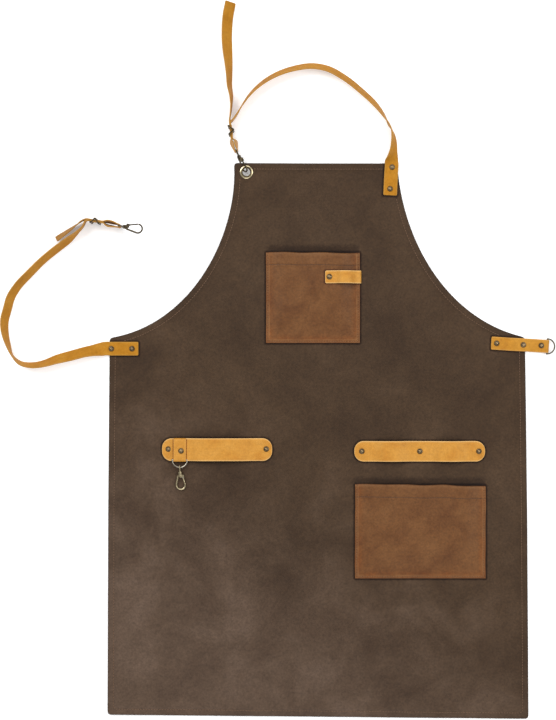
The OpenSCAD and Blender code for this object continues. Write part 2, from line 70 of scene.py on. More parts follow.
area_light("key", (-1.7, 1.5, 2.3), (1.5, 1.5), 58)
area_light("fill_r", (2.1, 0.4, 2.0), (1.5, 2.0), 35)
area_light("fill_b", (0.2, -2.2, 1.9), (2.2, 1.4), 34)
area_light("fill_t", (0.3, 2.5, 2.0), (2.2, 1.4), 32)
world = bpy.data.worlds.new("studio")
world.use_nodes = True
world.node_tree.nodes["Background"].inputs[0].default_value = (0.95, 0.97, 1, 1)
world.node_tree.nodes["Background"].inputs[1].default_value = 0.46
bpy.context.scene.world = world
bpy.context.scene.view_settings.view_transform = "Standard"


# ------------------------------------------------------------------ shader helpers
def new_mat(name):
    m = bpy.data.materials.new(name)
    m.use_nodes = True
    nt = m.node_tree
    return m, nt, nt.nodes["Principled BSDF"]


def N(nt, kind, **kw):
    n = nt.nodes.new(kind)
    for k, v in kw.items():
        if k.startswith("i_"):
            n.inputs[k[2:].replace("_", " ")].default_value = v
        else:
            setattr(n, k, v)
    return n


def L(nt, a, b):
    nt.links.new(a, b)


def mix(nt, fac, a, b, blend="MIX"):
    n = nt.nodes.new("ShaderNodeMix")
    n.data_type, n.blend_type = "RGBA", blend
    for sock, v in ((n.inputs[0], fac), (n.inputs[6], a), (n.inputs[7], b)):
        if hasattr(v, "is_output"):
            L(nt, v, sock)
        elif isinstance(v, (int, float)):
            sock.default_value = v
        else:
            sock.default_value = (*v, 1)
    return n.outputs[2]


def ramp(nt, src, stops, interp="LINEAR"):
    n = nt.nodes.new("ShaderNodeValToRGB")
    n.color_ramp.interpolation = interp
    while len(n.color_ramp.elements) < len(stops):
        n.color_ramp.elements.new(0.5)
    for e, (p, c) in zip(n.color_ramp.elements, stops):
        e.position = p
        e.color = (*c, 1) if not isinstance(c, (int, float)) else (c, c, c, 1)
    L(nt, src, n.inputs[0])
    return n.outputs[0]


def math_node(nt, op, a, b=None, c=None, clamp=False):
    n = nt.nodes.new("ShaderNodeMath")
    n.operation, n.use_clamp = op, clamp
    for i, v in enumerate((a, b, c)):
        if v is None:
            continue
        if hasattr(v, "is_output"):
            L(nt, v, n.inputs[i])
        else:
            n.inputs[i].default_value = v
    return n.outputs[0]


def noise_tex(nt, vec, scale, detail=3, rough=0.5, dist=0.0):
    n = nt.nodes.new("ShaderNodeTexNoise")
    n.inputs["Scale"].default_value = scale
    n.inputs["Detail"].default_value = detail
    n.inputs["Roughness"].default_value = rough
    n.inputs["Distortion"].default_value = dist
    L(nt, vec, n.inputs["Vector"])
    return n.outputs["Fac"]


def srgb(r, g, b):
    f = lambda c: c / 12.92 if c <= 0.04045 else ((c + 0.055) / 1.055) ** 2.4
    return (f(r / 255), f(g / 255), f(b / 255))


def scl(c, k):
    return tuple(x * k for x in c)


def box_dist(nt, xyz, cx, cy, hx, hy, r, deg=0.0):
    """Distance in metres outside a round-cornered rectangle given in millimetres, 0 within it."""
    x, y = math_node(nt, "SUBTRACT", xyz[0], cx * MM), math_node(nt, "SUBTRACT", xyz[1], cy * MM)
    if deg:
        c, sn = math.cos(T_(deg)), math.sin(T_(deg))
        x, y = (math_node(nt, "ADD", math_node(nt, "MULTIPLY", x, c), math_node(nt, "MULTIPLY", y, sn)),
                math_node(nt, "SUBTRACT", math_node(nt, "MULTIPLY", y, c), math_node(nt, "MULTIPLY", x, sn)))
    qx = math_node(nt, "MAXIMUM", math_node(nt, "SUBTRACT", math_node(nt, "ABSOLUTE", x), (hx - r) * MM), 0.0)
    qy = math_node(nt, "MAXIMUM", math_node(nt, "SUBTRACT", math_node(nt, "ABSOLUTE", y), (hy - r) * MM), 0.0)
    q = math_node(nt, "SQRT", math_node(nt, "ADD", math_node(nt, "MULTIPLY", qx, qx), math_node(nt, "MULTIPLY", qy, qy)))
    return math_node(nt, "MAXIMUM", math_node(nt, "SUBTRACT", q, r * MM), 0.0)


def leather(name, base, light, dark, edge, back, cell=1.3, mottle=14, fine=70, bump=0.35, rough=0.56,
            spec=0.35, coord="Object", streak=0.0, cloud=0.55, sheen=0.0, grain=0.5, near=(), gk=1.0, painted_light_ramp=None, soft=0.3):
    """Waxed leather: cloudy dye, mottled grain, pebbles with darker pores, pale cut edges and a flesh side, both from
    the mesh's own attributes, and painted contact shade along what is sewn or riveted on.
    """
    m, nt, b = new_mat(name)
    tc = N(nt, "ShaderNodeTexCoord")
    vec = tc.outputs["Object"] if coord == "Object" else tc.outputs["UV"]
    big = noise_tex(nt, vec, mottle, 4, 0.62, 0.4)
    mid = noise_tex(nt, vec, fine, 3, 0.55, 0.2)
    small = noise_tex(nt, vec, 330, 4, 0.62, 0.3)
    clouds = ramp(nt, big, [(0.30, dark), (0.5, base), (0.72, light)])
    col = mix(nt, cloud, base, clouds)
    speck = ramp(nt, mid, [(0.30, 0.90), (0.55, 1.0), (0.75, 1.07)])
    col = mix(nt, 0.8, col, speck, "MULTIPLY")
    col = mix(nt, grain, col, ramp(nt, small, [(0.28, 1 - 0.22 * gk), (0.5, 1.0), (0.72, 1 + 0.20 * gk)]), "MULTIPLY")
    # painted light: along (ux, uy) the colour is multiplied by tone up to a0 and kept full past a1
    if painted_light_ramp:
        ux, uy, a0, a1, tone = painted_light_ramp
        fs = N(nt, "ShaderNodeSeparateXYZ")
        L(nt, tc.outputs["Object"], fs.inputs[0])
        t = math_node(nt, "MULTIPLY_ADD", fs.outputs[0], ux, math_node(nt, "MULTIPLY", fs.outputs[1], uy))
        t = math_node(nt, "MULTIPLY_ADD", math_node(nt, "SUBTRACT", big, 0.5), 0.35, t)
        col = mix(nt, ramp(nt, math_node(nt, "DIVIDE", math_node(nt, "SUBTRACT", t, a0), a1 - a0, clamp=True), [(0.0, 0.0), (1.0, 1.0)], "EASE"), mix(nt, 1.0, col, tone, "MULTIPLY"), col)
    if streak:
        mp = N(nt, "ShaderNodeMapping")
        mp.inputs["Scale"].default_value = (18, 330, 1)
        L(nt, vec, mp.inputs["Vector"])
        lines = noise_tex(nt, mp.outputs[0], 1.0, 3, 0.6)
        col = mix(nt, streak, col, ramp(nt, lines, [(0.35, 0.80), (0.62, 1.08)]), "MULTIPLY")
    vor = N(nt, "ShaderNodeTexVoronoi", feature="DISTANCE_TO_EDGE")
    vor.inputs["Scale"].default_value = 1000 / cell
    vor.inputs["Randomness"].default_value = 1
    wob = N(nt, "ShaderNodeTexNoise")
    wob.inputs["Scale"].default_value = 400
    L(nt, vec, wob.inputs["Vector"])
    vadd = nt.nodes.new("ShaderNodeVectorMath")
    vadd.operation = "MULTIPLY_ADD"
    L(nt, wob.outputs["Color"], vadd.inputs[0])
    vadd.inputs[1].default_value = (cell * 0.0006,) * 3
    L(nt, vec, vadd.inputs[2])
    L(nt, vadd.outputs[0], vor.inputs["Vector"])
    pore = ramp(nt, vor.outputs["Distance"], [(0.0, 0.0), (0.16, 1.0)], "EASE")
    col = mix(nt, 0.35, col, ramp(nt, pore, [(0.0, 0.72), (1.0, 1.0)]), "MULTIPLY")
    ed = N(nt, "ShaderNodeAttribute", attribute_name="edge").outputs["Fac"]
    fl = N(nt, "ShaderNodeAttribute", attribute_name="flesh").outputs["Fac"]
    dk = N(nt, "ShaderNodeAttribute", attribute_name="dark").outputs["Fac"]
    fuzz = noise_tex(nt, vec, 900, 3, 0.7)
    # painted contact shade: a dark band of the given reach and depth round each group of rectangles, kept off the flesh
    # side
    if near:
        sx = N(nt, "ShaderNodeSeparateXYZ")
        L(nt, tc.outputs["Object"], sx.inputs[0])
        for boxes, reach, depth in near:
            ds = [box_dist(nt, (sx.outputs[0], sx.outputs[1]), *q) for q in boxes]
            d = ds[0]
            for q in ds[1:]:
                d = math_node(nt, "MINIMUM", d, q)
            d = math_node(nt, "MULTIPLY_ADD", math_node(nt, "SUBTRACT", small, 0.5), 0.45 * reach * MM, d)
            shade = N(nt, "ShaderNodeMapRange", interpolation_type="SMOOTHSTEP", clamp=True)
            L(nt, d, shade.inputs["Value"])
            for k, v in (("From Min", 0.15 * reach * MM), ("From Max", reach * MM), ("To Min", 1.0), ("To Max", 0.0)):
                shade.inputs[k].default_value = v
            amount = math_node(nt, "MULTIPLY", shade.outputs[0], math_node(nt, "SUBTRACT", 1.0, fl, clamp=True))
            col = mix(nt, amount, col, mix(nt, 1.0, col, depth, "MULTIPLY"))
    warm = N(nt, "ShaderNodeAttribute", attribute_name="warm").outputs["Fac"]
    col = mix(nt, warm, col, mix(nt, 1.0, col, (1.22, 0.96, 0.62), "MULTIPLY"))
    backc = mix(nt, 1.0, back, ramp(nt, fuzz, [(0.3, 0.82), (0.7, 1.12)]), "MULTIPLY")
    col = mix(nt, fl, col, backc)
    edgec = mix(nt, 1.0, edge, ramp(nt, fuzz, [(0.3, 0.80), (0.7, 1.15)]), "MULTIPLY")
    col = mix(nt, ed, col, edgec)
    col = mix(nt, dk, col, scl(dark, 0.4))
    L(nt, col, b.inputs["Base Color"])
    r = math_node(nt, "MULTIPLY_ADD", mid, 0.22, rough - 0.11)
    r = math_node(nt, "MULTIPLY_ADD", fl, 0.25, r, clamp=True)
    L(nt, r, b.inputs["Roughness"])
    b.inputs["Specular IOR Level"].default_value = spec
    if sheen:
        b.inputs["Sheen Weight"].default_value = sheen
        b.inputs["Sheen Roughness"].default_value = 0.5
    h = math_node(nt, "MULTIPLY_ADD", pore, 0.6, fuzz)
    bm = N(nt, "ShaderNodeBump")
    bm.inputs["Strength"].default_value = bump
    bm.inputs["Distance"].default_value = 0.00022
    L(nt, h, bm.inputs["Height"])
    L(nt, bm.outputs[0], b.inputs["Normal"])
    return m


def metal(name, worn, aged, rough=0.3, amount=0.5, size=260, bump=0.12, soft=0.16, detail=4):
    """Antiqued metal: dark patina left in patches over worn bright metal, with fine tumbling scratches."""
    m, nt, b = new_mat(name)
    vec = N(nt, "ShaderNodeTexCoord").outputs["Object"]
    a = noise_tex(nt, vec, size, detail, 0.65, 0.6)
    f = noise_tex(nt, vec, size * 9, 2, 0.5)
    patch = ramp(nt, a, [(amount - soft, 0.0), (amount + soft, 1.0)])
    rub = N(nt, "ShaderNodeAttribute", attribute_name="rubbed").outputs["Fac"]
    patch = math_node(nt, "MULTIPLY", patch, math_node(nt, "SUBTRACT", 1.0, rub), clamp=True)
    # the attribute added here darkens further: patina in rivet grooves, and painted shade on rivet rims and round the
    # eyelet's hole
    patch = math_node(nt, "ADD", patch, N(nt, "ShaderNodeAttribute", attribute_name="grime_and_shade").outputs["Fac"], clamp=True)
    col = mix(nt, patch, worn, aged)
    col = mix(nt, 0.5, col, ramp(nt, f, [(0.3, 0.8), (0.7, 1.15)]), "MULTIPLY")
    L(nt, col, b.inputs["Base Color"])
    b.inputs["Metallic"].default_value = 1.0
    r = math_node(nt, "MULTIPLY_ADD", patch, 0.2, rough)
    r = math_node(nt, "MULTIPLY_ADD", f, 0.1, r)
    L(nt, r, b.inputs["Roughness"])
    bm = N(nt, "ShaderNodeBump")
    bm.inputs["Strength"].default_value = bump
    bm.inputs["Distance"].default_value = 0.0001
    L(nt, f, bm.inputs["Height"])
    L(nt, bm.outputs[0], b.inputs["Normal"])
    return m


def thread_mat(name, c):
    """Waxed twisted thread: fine diagonal ply lines."""
    m, nt, b = new_mat(name)
    vec = N(nt, "ShaderNodeTexCoord").outputs["Object"]
    w = N(nt, "ShaderNodeTexWave", wave_type="BANDS", bands_direction="DIAGONAL")
    w.inputs["Scale"].default_value = 900
    w.inputs["Distortion"].default_value = 1.5
    L(nt, vec, w.inputs["Vector"])
    L(nt, mix(nt, 1.0, c, ramp(nt, w.outputs["Fac"], [(0.2, 0.7), (0.8, 1.15)]), "MULTIPLY"), b.inputs["Base Color"])
    b.inputs["Roughness"].default_value = 0.6
    bm = N(nt, "ShaderNodeBump")
    bm.inputs["Strength"].default_value = 0.4
    bm.inputs["Distance"].default_value = 0.0001
    L(nt, w.outputs["Fac"], bm.inputs["Height"])
    L(nt, bm.outputs[0], b.inputs["Normal"])
    return m


# rectangles (centre, half size, corner, turn) of what lies on the panel and on the chest pocket
ON_PANEL = [(-7.4, 206.2, 68.2, 65.8, 1), (148.2, -132.8, 94.8, 67.8, 1), (-146.2, -13.8, 79.8, 16.5, 14), (147.2, -16.3, 94.8, 14.9, 13.6),
            (105.6, 380, 26, 10, 1, 87.2), (-283, 132.4, 23, 10, 1), (291, 138.2, 40, 9.5, 1, -3.4)]
# the dark line round each of them is painted contact shade in the leather, and the soft dark band above the pocket
# mouths is a painted shadow
MOUTH_SHADOW = [(-7.4, 274.5, 60, 2.0, 1), (146, -62.5, 90, 2.0, 1)]
CONTACT_SHADE = (0.30, 0.20, 0.12)
# the panel's painted light ramp keeps it lighter towards its lower left and darker elsewhere
PANEL = leather("panel_leather", srgb(80, 63, 50), srgb(94, 76, 63), srgb(64, 48, 37), srgb(72, 54, 40), srgb(106, 87, 72),
                cell=1.5, mottle=10, fine=75, rough=0.62, spec=0.16, cloud=0.8, grain=0.8, gk=1.5,
                near=[(ON_PANEL, 4.0, CONTACT_SHADE), (MOUTH_SHADOW, 10.0, (0.55, 0.50, 0.46))], painted_light_ramp=(-0.65, -1.0, 0.02, 0.46, (0.60, 0.53, 0.40)))
# the pocket leather gets a painted contact-shade line round the pen loop
POCKET = leather("pocket_leather", srgb(99, 62, 30), srgb(111, 73, 39), srgb(81, 46, 18), srgb(134, 96, 58), srgb(132, 94, 62),
                 cell=1.2, mottle=24, fine=120, rough=0.5, spec=0.22, cloud=0.8, grain=0.8, gk=1.3, near=[([(36, 236.4, 26.2, 9.2, 1)], 3.2, (0.5, 0.36, 0.22))])
TAN = (srgb(188, 131, 50), srgb(196, 142, 64), srgb(172, 110, 32), srgb(212, 170, 108), srgb(186, 142, 96))
STRAP = leather("strap_leather", *TAN, cell=0.9, mottle=30, fine=160, rough=0.5, spec=0.2, cloud=0.7, coord="UV", streak=0.16, grain=0.4)
# the towel strap leather gets a painted contact-shade line round the key hanger loop
STRAP_T = leather("towel_strap_leather", *TAN, cell=0.9, mottle=30, fine=160, rough=0.5, spec=0.2, cloud=0.7, coord="UV", streak=0.16, grain=0.4,
                  near=[([(-200.2, -14.2, 9.1, 18, 0.5)], 2.0, (0.5, 0.34, 0.2))])
TAB = leather("side_tab_leather", srgb(178, 122, 34), srgb(188, 133, 46), srgb(160, 100, 20), srgb(204, 158, 92), srgb(186, 142, 96),
              cell=0.9, mottle=30, fine=160, rough=0.5, spec=0.2, cloud=0.7, coord="UV", streak=0.2, grain=0.4)
# a darker copy of the strap leather for the neck and waist straps: partly their own colour, partly painted shade for
# the runs that stand on edge
LONG = leather("long_strap_leather", srgb(170, 115, 33), srgb(178, 127, 46), srgb(150, 97, 22), srgb(172, 134, 70), srgb(180, 136, 90),
               cell=0.9, mottle=30, fine=160, rough=0.5, spec=0.05, cloud=0.7, coord="UV", streak=0.2, grain=0.45)
THREAD = thread_mat("hem_thread", srgb(112, 82, 58))
THREAD_P = thread_mat("pocket_thread", srgb(134, 94, 54))
THREAD_H = thread_mat("pocket_hem_thread", srgb(82, 52, 28))
BRASS = metal("antique_brass", (0.13, 0.10, 0.056), (0.036, 0.027, 0.017), 0.22, 0.48, 90, soft=0.28, detail=1)
BRASS_L = metal("worn_brass", (0.52, 0.44, 0.28), (0.26, 0.205, 0.115), 0.2, 0.56, 90, soft=0.3, detail=1)
BRASS_D = metal("rivet_brass", (0.42, 0.30, 0.16), (0.052, 0.032, 0.018), 0.26, 0.46, 260)
EYE = metal("eyelet_brass", (0.56, 0.47, 0.29), (0.075, 0.055, 0.03), 0.22, 0.6, 160, soft=0.2)
NICKEL = metal("aged_nickel", (0.46, 0.425, 0.35), (0.2, 0.17, 0.12), 0.2, 0.58, 90, soft=0.3, detail=1)
GUN = metal("dark_ring_metal", (0.18, 0.165, 0.13), (0.06, 0.05, 0.038), 0.22, 0.5, 90, soft=0.28, detail=1)
STEEL = metal("spring_steel", (0.4, 0.39, 0.37), (0.16, 0.15, 0.13), 0.3, 0.6, 300)
floor_m, floor_nt, floor_b = new_mat("floor_paper")
fv = N(floor_nt, "ShaderNodeTexCoord").outputs["Object"]
L(floor_nt, ramp(floor_nt, noise_tex(floor_nt, fv, 30, 2), [(0.3, 0.93), (0.7, 0.96)]), floor_b.inputs["Base Color"])
floor_b.inputs["Roughness"].default_value = 0.95
floor_b.inputs["Specular IOR Level"].default_value = 0.1
floor_b.inputs["Emission Color"].default_value = (1, 1, 1, 1)
floor_b.inputs["Emission Strength"].default_value = 0.2

fm = bpy.data.meshes.new("floor")
fm.from_pydata([(-30, -30, -0.0004), (30, -30, -0.0004), (30, 30, -0.0004), (-30, 30, -0.0004)], [], [(0, 1, 2, 3)])
floor = bpy.data.objects.new("floor", fm)
floor.data.materials.append(floor_m)
bpy.context.scene.collection.objects.link(floor)


# ------------------------------------------------------------------ mesh helpers
def piece(name, verts, faces, mats, attrs=None, uv=None, face_mat=None, smooth=True, body="apron", slot=None, replaces=(), ride=True):
    me = bpy.data.meshes.new(name)
    V = np.asarray(verts, float) * MM
    me.from_pydata(V.tolist(), [], [list(map(int, f)) for f in faces])
    me.validate()
    for m in mats if isinstance(mats, (list, tuple)) else [mats]:
        me.materials.append(m)
    for k, vals in (attrs or {}).items():
        a = me.attributes.new(k, "FLOAT", "POINT")
        a.data.foreach_set("value", np.asarray(vals, np.float32))
    if uv is not None:
        u = me.uv_layers.new(name="UVMap")
        idx = np.zeros(len(me.loops), np.int32)
        me.loops.foreach_get("vertex_index", idx)
        u.data.foreach_set("uv", np.asarray(uv, np.float32)[idx].ravel())
    if face_mat is not None:
        me.polygons.foreach_set("material_index", np.asarray(face_mat, np.int32))
    me.polygons.foreach_set("use_smooth", [bool(smooth)] * len(me.polygons))
    me.update()
    o = bpy.data.objects.new(name, me)
    bpy.context.scene.collection.objects.link(o)
    if ride:
        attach(o, body)
    if replaces:
        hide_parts(*replaces)
    return o


def sm(a, b, x):
    t = np.clip((np.asarray(x, float) - a) / (b - a), 0, 1)
    return t * t * (3 - 2 * t)


def unit(v):
    v = np.asarray(v, float)
    return v / np.maximum(np.linalg.norm(v, axis=-1, keepdims=True), 1e-12)


def fnoise(x, y, s, seed=0.0):
    """Smooth noise, about -1 to 1, feature size s millimetres."""
    return np.array([noise.noise(Vector((float(a) / s + seed, float(b) / s - seed * 0.7, seed * 1.3))) for a, b in zip(np.ravel(x), np.ravel(y))]) * 1.6


# ------------------------------------------------------------------ how the leather lies
FOLD = np.array([20.0, 401.0])
FN = np.array([-156.0, 170.0]) / math.hypot(156, 170)
S5 = math.sin(T_(5))
FLAT_AT = [(107.3, 395.3), (104.3, 364), (-299.2, 132.4), (-269.5, 132.4), (258.7, 140.2), (297.2, 138), (323, 137), (-216.8, -13), (-75, -13),
           (63.4, -16.2), (147.5, -16.2), (233, -16.2), (-198.2, -15.4), (16.2, 236.5), (-199, -50), (-199, -72), (-104, 388), (55, 236), (35, 236),
           (-150, -13), (-190, -13), (-110, -13), (105, -16), (190, -16), (285, 139), (-285, 132), (106, 380)]


def lie(x, y):
    """How far the panel stands off the table: slow waves, nothing under the hardware, and a shallow crease near the bottom right corner."""
    x, y = np.ravel(np.asarray(x, float)), np.ravel(np.asarray(y, float))
    w = 0.55 + 0.75 * fnoise(x, y, 120, 3.1) + 0.35 * fnoise(x, y, 47, 8.7)
    w = np.clip(w, 0, 2.2)
    mask = np.ones_like(w)
    for px, py in FLAT_AT:
        mask *= sm(14, 42, np.hypot(x - px, y - py))
    a, b = np.array([262.0, -222.0]), np.array([296.0, -362.0])
    d = unit(b - a)
    rel = np.stack([x - a[0], y - a[1]], 1)
    along, off = rel @ d, rel @ np.array([-d[1], d[0]])
    crease = 1.5 * np.exp(-(off / 6.0) ** 2) * sm(-30, 30, along) * (1 - sm(110, 165, along))
    return w * mask + crease


def drape(P):
    """Bends the bib corner up towards the hook."""
    P = np.asarray(P, float)
    d = np.where(P[:, 1] < 205, -99.0, (P[:, :2] - FOLD) @ FN)
    th = T_(5) * np.clip((d + 30) / 60, 0, 1)
    dz = np.where(d < -30, 0, np.where(d < 30, S5 * (d + 30) ** 2 / 120, S5 * d))
    out = P.copy()
    out[:, :2] += (-0.04366 * dz - P[:, 2] * np.sin(th))[:, None] * FN
    out[:, 2] = P[:, 2] * np.cos(th) + dz
    return out


# ------------------------------------------------------------------ panel
def bez(a, b, c, d, n):
    t = np.linspace(0, 1, n)[:, None]
    a, b, c, d = map(lambda v: np.array(v, float), (a, b, c, d))
    return (1 - t) ** 3 * a + 3 * (1 - t) ** 2 * t * b + 3 * (1 - t) * t * t * c + t ** 3 * d


SIDES = [bez([-302, 148], [-178, 167], [-115, 305], [-122, 401], 200), np.array([[-122, 401], [115, 401.]]),
         bez([115, 401], [122, 281], [193, 172], [300, 149], 200), np.array([[300, 149], [303, -100], [305, -404.]]),
         np.array([[305, -404], [-305, -398.]]), np.array([[-305, -398], [-304, -100], [-302, 148.]])]


def along(poly, u):
    """Points and unit tangents of a polyline at arc lengths u; past its ends it goes straight on."""
    seg = np.linalg.norm(np.diff(poly, axis=0), axis=1)
    cum = np.concatenate([[0], np.cumsum(seg)])
    k = np.clip(np.searchsorted(cum, u, side="right") - 1, 0, len(seg) - 1)
    T = (poly[k + 1] - poly[k]) / seg[k][:, None]
    return poly[k] + T * (u - cum[k])[:, None], T


def ring_at(d, counts):
    out = []
    n = len(SIDES)
    for i, s in enumerate(SIDES):
        Lr = np.linalg.norm(np.diff(s, axis=0), axis=1).sum()
        prev, nxt = SIDES[(i - 1) % n], SIDES[(i + 1) % n]
        def trim(ta, tb):
            c = float(np.dot(ta, tb))
            return d * math.tan(math.acos(max(-1, min(1, c))) / 2)
        t0 = trim(unit(prev[-1] - prev[-2]), unit(s[1] - s[0]))
        t1 = trim(unit(s[-1] - s[-2]), unit(nxt[1] - nxt[0]))
        u = np.linspace(t0, Lr - t1, counts[i] + 1)[:-1]
        p, T = along(s, u)
        out.append(p + d * np.stack([T[:, 1], -T[:, 0]], 1))
    r = np.concatenate(out)
    for _ in range(2):
        r = 0.5 * r + 0.25 * (np.roll(r, 1, 0) + np.roll(r, -1, 0))
    return r


COUNTS = [max(6, int(np.linalg.norm(np.diff(s, axis=0), axis=1).sum() / 3.4)) for s in SIDES]
#       inset, front z, back z, how far into the dark rolled rim
RINGS = [(0.0, 1.25, 1.25, 1.0), (0.22, 1.95, 0.55, 0.9), (0.65, 2.38, 0.16, 0.7), (1.4, 2.56, 0.02, 0.45), (3.2, 2.62, 0.0, 0.25), (5.6, 2.58, 0.0, 0.15),
         (7.3, 2.50, 0.0, 0.15), (8.0, 2.30, 0.1, 0.45), (8.4, 2.12, 0.26, 0.75), (8.8, 2.28, 0.1, 0.45), (9.5, 2.42, 0.05, 0.12), (10.1, 2.2, 0.42, 0.12),
         (11.2, 1.86, 0.05, 0.1), (12.8, 1.55, 0.0, 0.04), (15.0, 1.42, 0.0, 0.0)]
rings = [ring_at(r[0], COUNTS) for r in RINGS]
NR = len(rings[0])
inner = rings[-1]
gx, gy = [], []
step = 6.4
row_i = 0
for yy in np.arange(-400, 400, step * 0.866):
    off = 0 if row_i % 2 else step / 2
    row_i += 1
    for xx in np.arange(-302, 302, step):
        gx.append(xx + off)
        gy.append(yy)
G = np.stack([gx, gy], 1)


def inside(poly, P):
    c = np.zeros(len(P), bool)
    a, b = poly, np.roll(poly, -1, 0)
    for (x0, y0), (x1, y1) in zip(a, b):
        if y0 == y1:
            continue
        hit = ((y0 > P[:, 1]) != (y1 > P[:, 1])) & (P[:, 0] < (x1 - x0) * (P[:, 1] - y0) / (y1 - y0) + x0)
        c ^= hit
    return c


G = G[inside(inner, G)]
near = np.ones(len(G), bool)
for i in range(0, len(G), 2000):
    dd = np.min(np.hypot(G[i:i + 2000, None, 0] - inner[None, :, 0], G[i:i + 2000, None, 1] - inner[None, :, 1]), axis=1)
    near[i:i + 2000] = dd > 3.6
G = G[near]
# the eyelet's hole
EC = np.array([-104.0, 388.0])
G = G[np.hypot(G[:, 0] - EC[0], G[:, 1] - EC[1]) > 11]
circ = np.array([[EC[0] + r * math.cos(a), EC[1] + r * math.sin(a)] for r, n in ((6.6, 24), (8.6, 28)) for a in np.linspace(0, 2 * math.pi, n + 1)[:-1]])
circ = circ[inside(inner, circ)]
circ = circ[[np.min(np.hypot(*(inner - c).T)) > 1.1 for c in circ]]
G = np.concatenate([G, circ])
allp = np.concatenate([inner, G])
cdt = geometry.delaunay_2d_cdt([Vector(p) for p in allp], [(i, (i + 1) % NR) for i in range(NR)], [], 1, 1e-4)
CV = np.array([list(v) for v in cdt[0]])
CF = [list(f) for f in cdt[2]]
if len(CV) == len(allp):
    pass
flat_xy = np.concatenate([*rings[:-1], CV])
z_top = np.concatenate([np.full(NR, r[1]) for r in RINGS[:-1]] + [np.full(len(CV), 1.4)])
z_bot = np.concatenate([np.full(NR, r[2]) for r in RINGS[:-1]] + [np.full(len(CV), 0.0)])
rim = np.concatenate([np.full(NR, r[3]) for r in RINGS[:-1]] + [np.zeros(len(CV))])
z_top[(len(RINGS) - 1) * NR:][:NR] = RINGS[-1][1]
# the corner round the eyelet is two layers thick
de = np.hypot(flat_xy[:, 0] - EC[0], flat_xy[:, 1] - EC[1])
z_top = np.maximum(z_top, 1.4 + 1.1 * (1 - sm(11, 16, de)))
# a dip of 0.16 mm keeps the drawn leather clear of the key hook's eye when the hook swings up
z_top = z_top - 0.16 * np.exp(-(((flat_xy[:, 0] + 200.3) / 9) ** 2 + ((flat_xy[:, 1] + 38.3) / 7) ** 2) ** 2)
W = lie(flat_xy[:, 0], flat_xy[:, 1])
grain = 0.05 * fnoise(flat_xy[:, 0], flat_xy[:, 1], 9, 5.5)
top = drape(np.column_stack([flat_xy, z_top + W + grain]))
bot = drape(np.column_stack([flat_xy, z_bot + W]))
nv = len(flat_xy)
HOLE = 7.6
faces = []
for k in range(len(RINGS) - 1):
    for i in range(NR):
        j = (i + 1) % NR
        a, b = k * NR + i, k * NR + j
        c, d = (k + 1) * NR + j, (k + 1) * NR + i
        if np.hypot(*(flat_xy[[a, b, c, d]].mean(0) - EC)) < HOLE:
            continue
        faces.append((a, b, c, d))
base = (len(RINGS) - 1) * NR
for f in CF:
    if np.hypot(*(CV[f].mean(0) - EC)) >= HOLE:
        faces.append([base + i for i in f])
# turn every front face upwards
P2 = flat_xy
fixed = []
for f in faces:
    a = sum(P2[f[i]][0] * P2[f[(i + 1) % len(f)]][1] - P2[f[(i + 1) % len(f)]][0] * P2[f[i]][1] for i in range(len(f)))
    fixed.append(list(f) if a > 0 else list(f)[::-1])
faces = fixed + [[nv + i for i in f[::-1]] for f in fixed]
sides = {(f[i], f[(i + 1) % len(f)]) for f in fixed for i in range(len(f))}
for a, b in sorted(sides):
    if (b, a) not in sides:
        faces.append((b, a, nv + a, nv + b))
verts = np.concatenate([top, bot])
flesh = np.concatenate([np.zeros(nv), np.where(rim > 0, 0.0, 1.0)])
flesh[nv:][: 11 * NR] = 0
dark = np.concatenate([rim * 0.42, rim * 0.42])
panel = piece("apron_panel_leather", verts, faces, PANEL, {"edge": np.zeros(2 * nv), "flesh": flesh, "dark": dark}, slot="panel_leather", replaces=["apron_panel", "panel_turned_edge"])


# ------------------------------------------------------------------ stitches
def stitches(name, lines, pitch, length, r, mat, ups=None, skip=None, closed=False, **kw):
    """Separate stitches along 3-D lines: each dives into the leather at its two ends."""
    V, F = [], []
    for line in lines:
        line = np.asarray(line, float)
        if closed:
            line = np.concatenate([line, line[:1]])
        seg = np.linalg.norm(np.diff(line, axis=0), axis=1)
        cum = np.concatenate([[0], np.cumsum(seg)])
        total = cum[-1]
        n = max(1, int(total / pitch))
        pt = total / n
        def at(u):
            k = min(max(int(np.searchsorted(cum, u, side="right")) - 1, 0), len(seg) - 1)
            return line[k] + (line[k + 1] - line[k]) * ((u - cum[k]) / seg[k])
        for i in range(n):
            mid = (i + 0.5) * pt
            a, b = at(mid - length / 2), at(mid + length / 2)
            m_ = (a + b) / 2
            if skip is not None and skip(m_):
                continue
            t = unit(b - a)
            t = unit(t + np.array([random.uniform(-.05, .05), random.uniform(-.05, .05), 0]))
            up = unit(np.cross(np.cross(t, [0, 0, 1.0]), t))
            sd = np.cross(t, up)
            start = len(V)
            for q, (f, rr, dz) in enumerate([(-0.5, 0.35, -0.5), (-0.40, 0.85, -0.12), (-0.18, 1.0, 0.06), (0.18, 1.0, 0.06), (0.40, 0.85, -0.12), (0.5, 0.35, -0.5)]):
                c = m_ + t * length * f + up * dz * r * 2
                for g in range(7):
                    an = 2 * math.pi * g / 7
                    V.append(c + sd * math.cos(an) * r * rr + up * math.sin(an) * r * rr * 0.85)
            for q in range(5):
                for g in range(7):
                    a0, b0 = start + q * 7 + g, start + q * 7 + (g + 1) % 7
                    F.append((a0, b0, b0 + 7, a0 + 7))
            F.append(tuple(start + g for g in range(6, -1, -1)))
            F.append(tuple(start + 35 + g for g in range(7)))
    return piece(name, V, F, mat, slot="thread", **kw)


hem = ring_at(8.4, COUNTS)


def under_straps(p):
    x, y = p[0], p[1]
    return (93 < x < 119 and y > 350) or (-310 < x < -256 and 121 < y < 144) or (x > 247 and 128 < y < 152) or math.hypot(x - EC[0], y - EC[1]) < 12.5


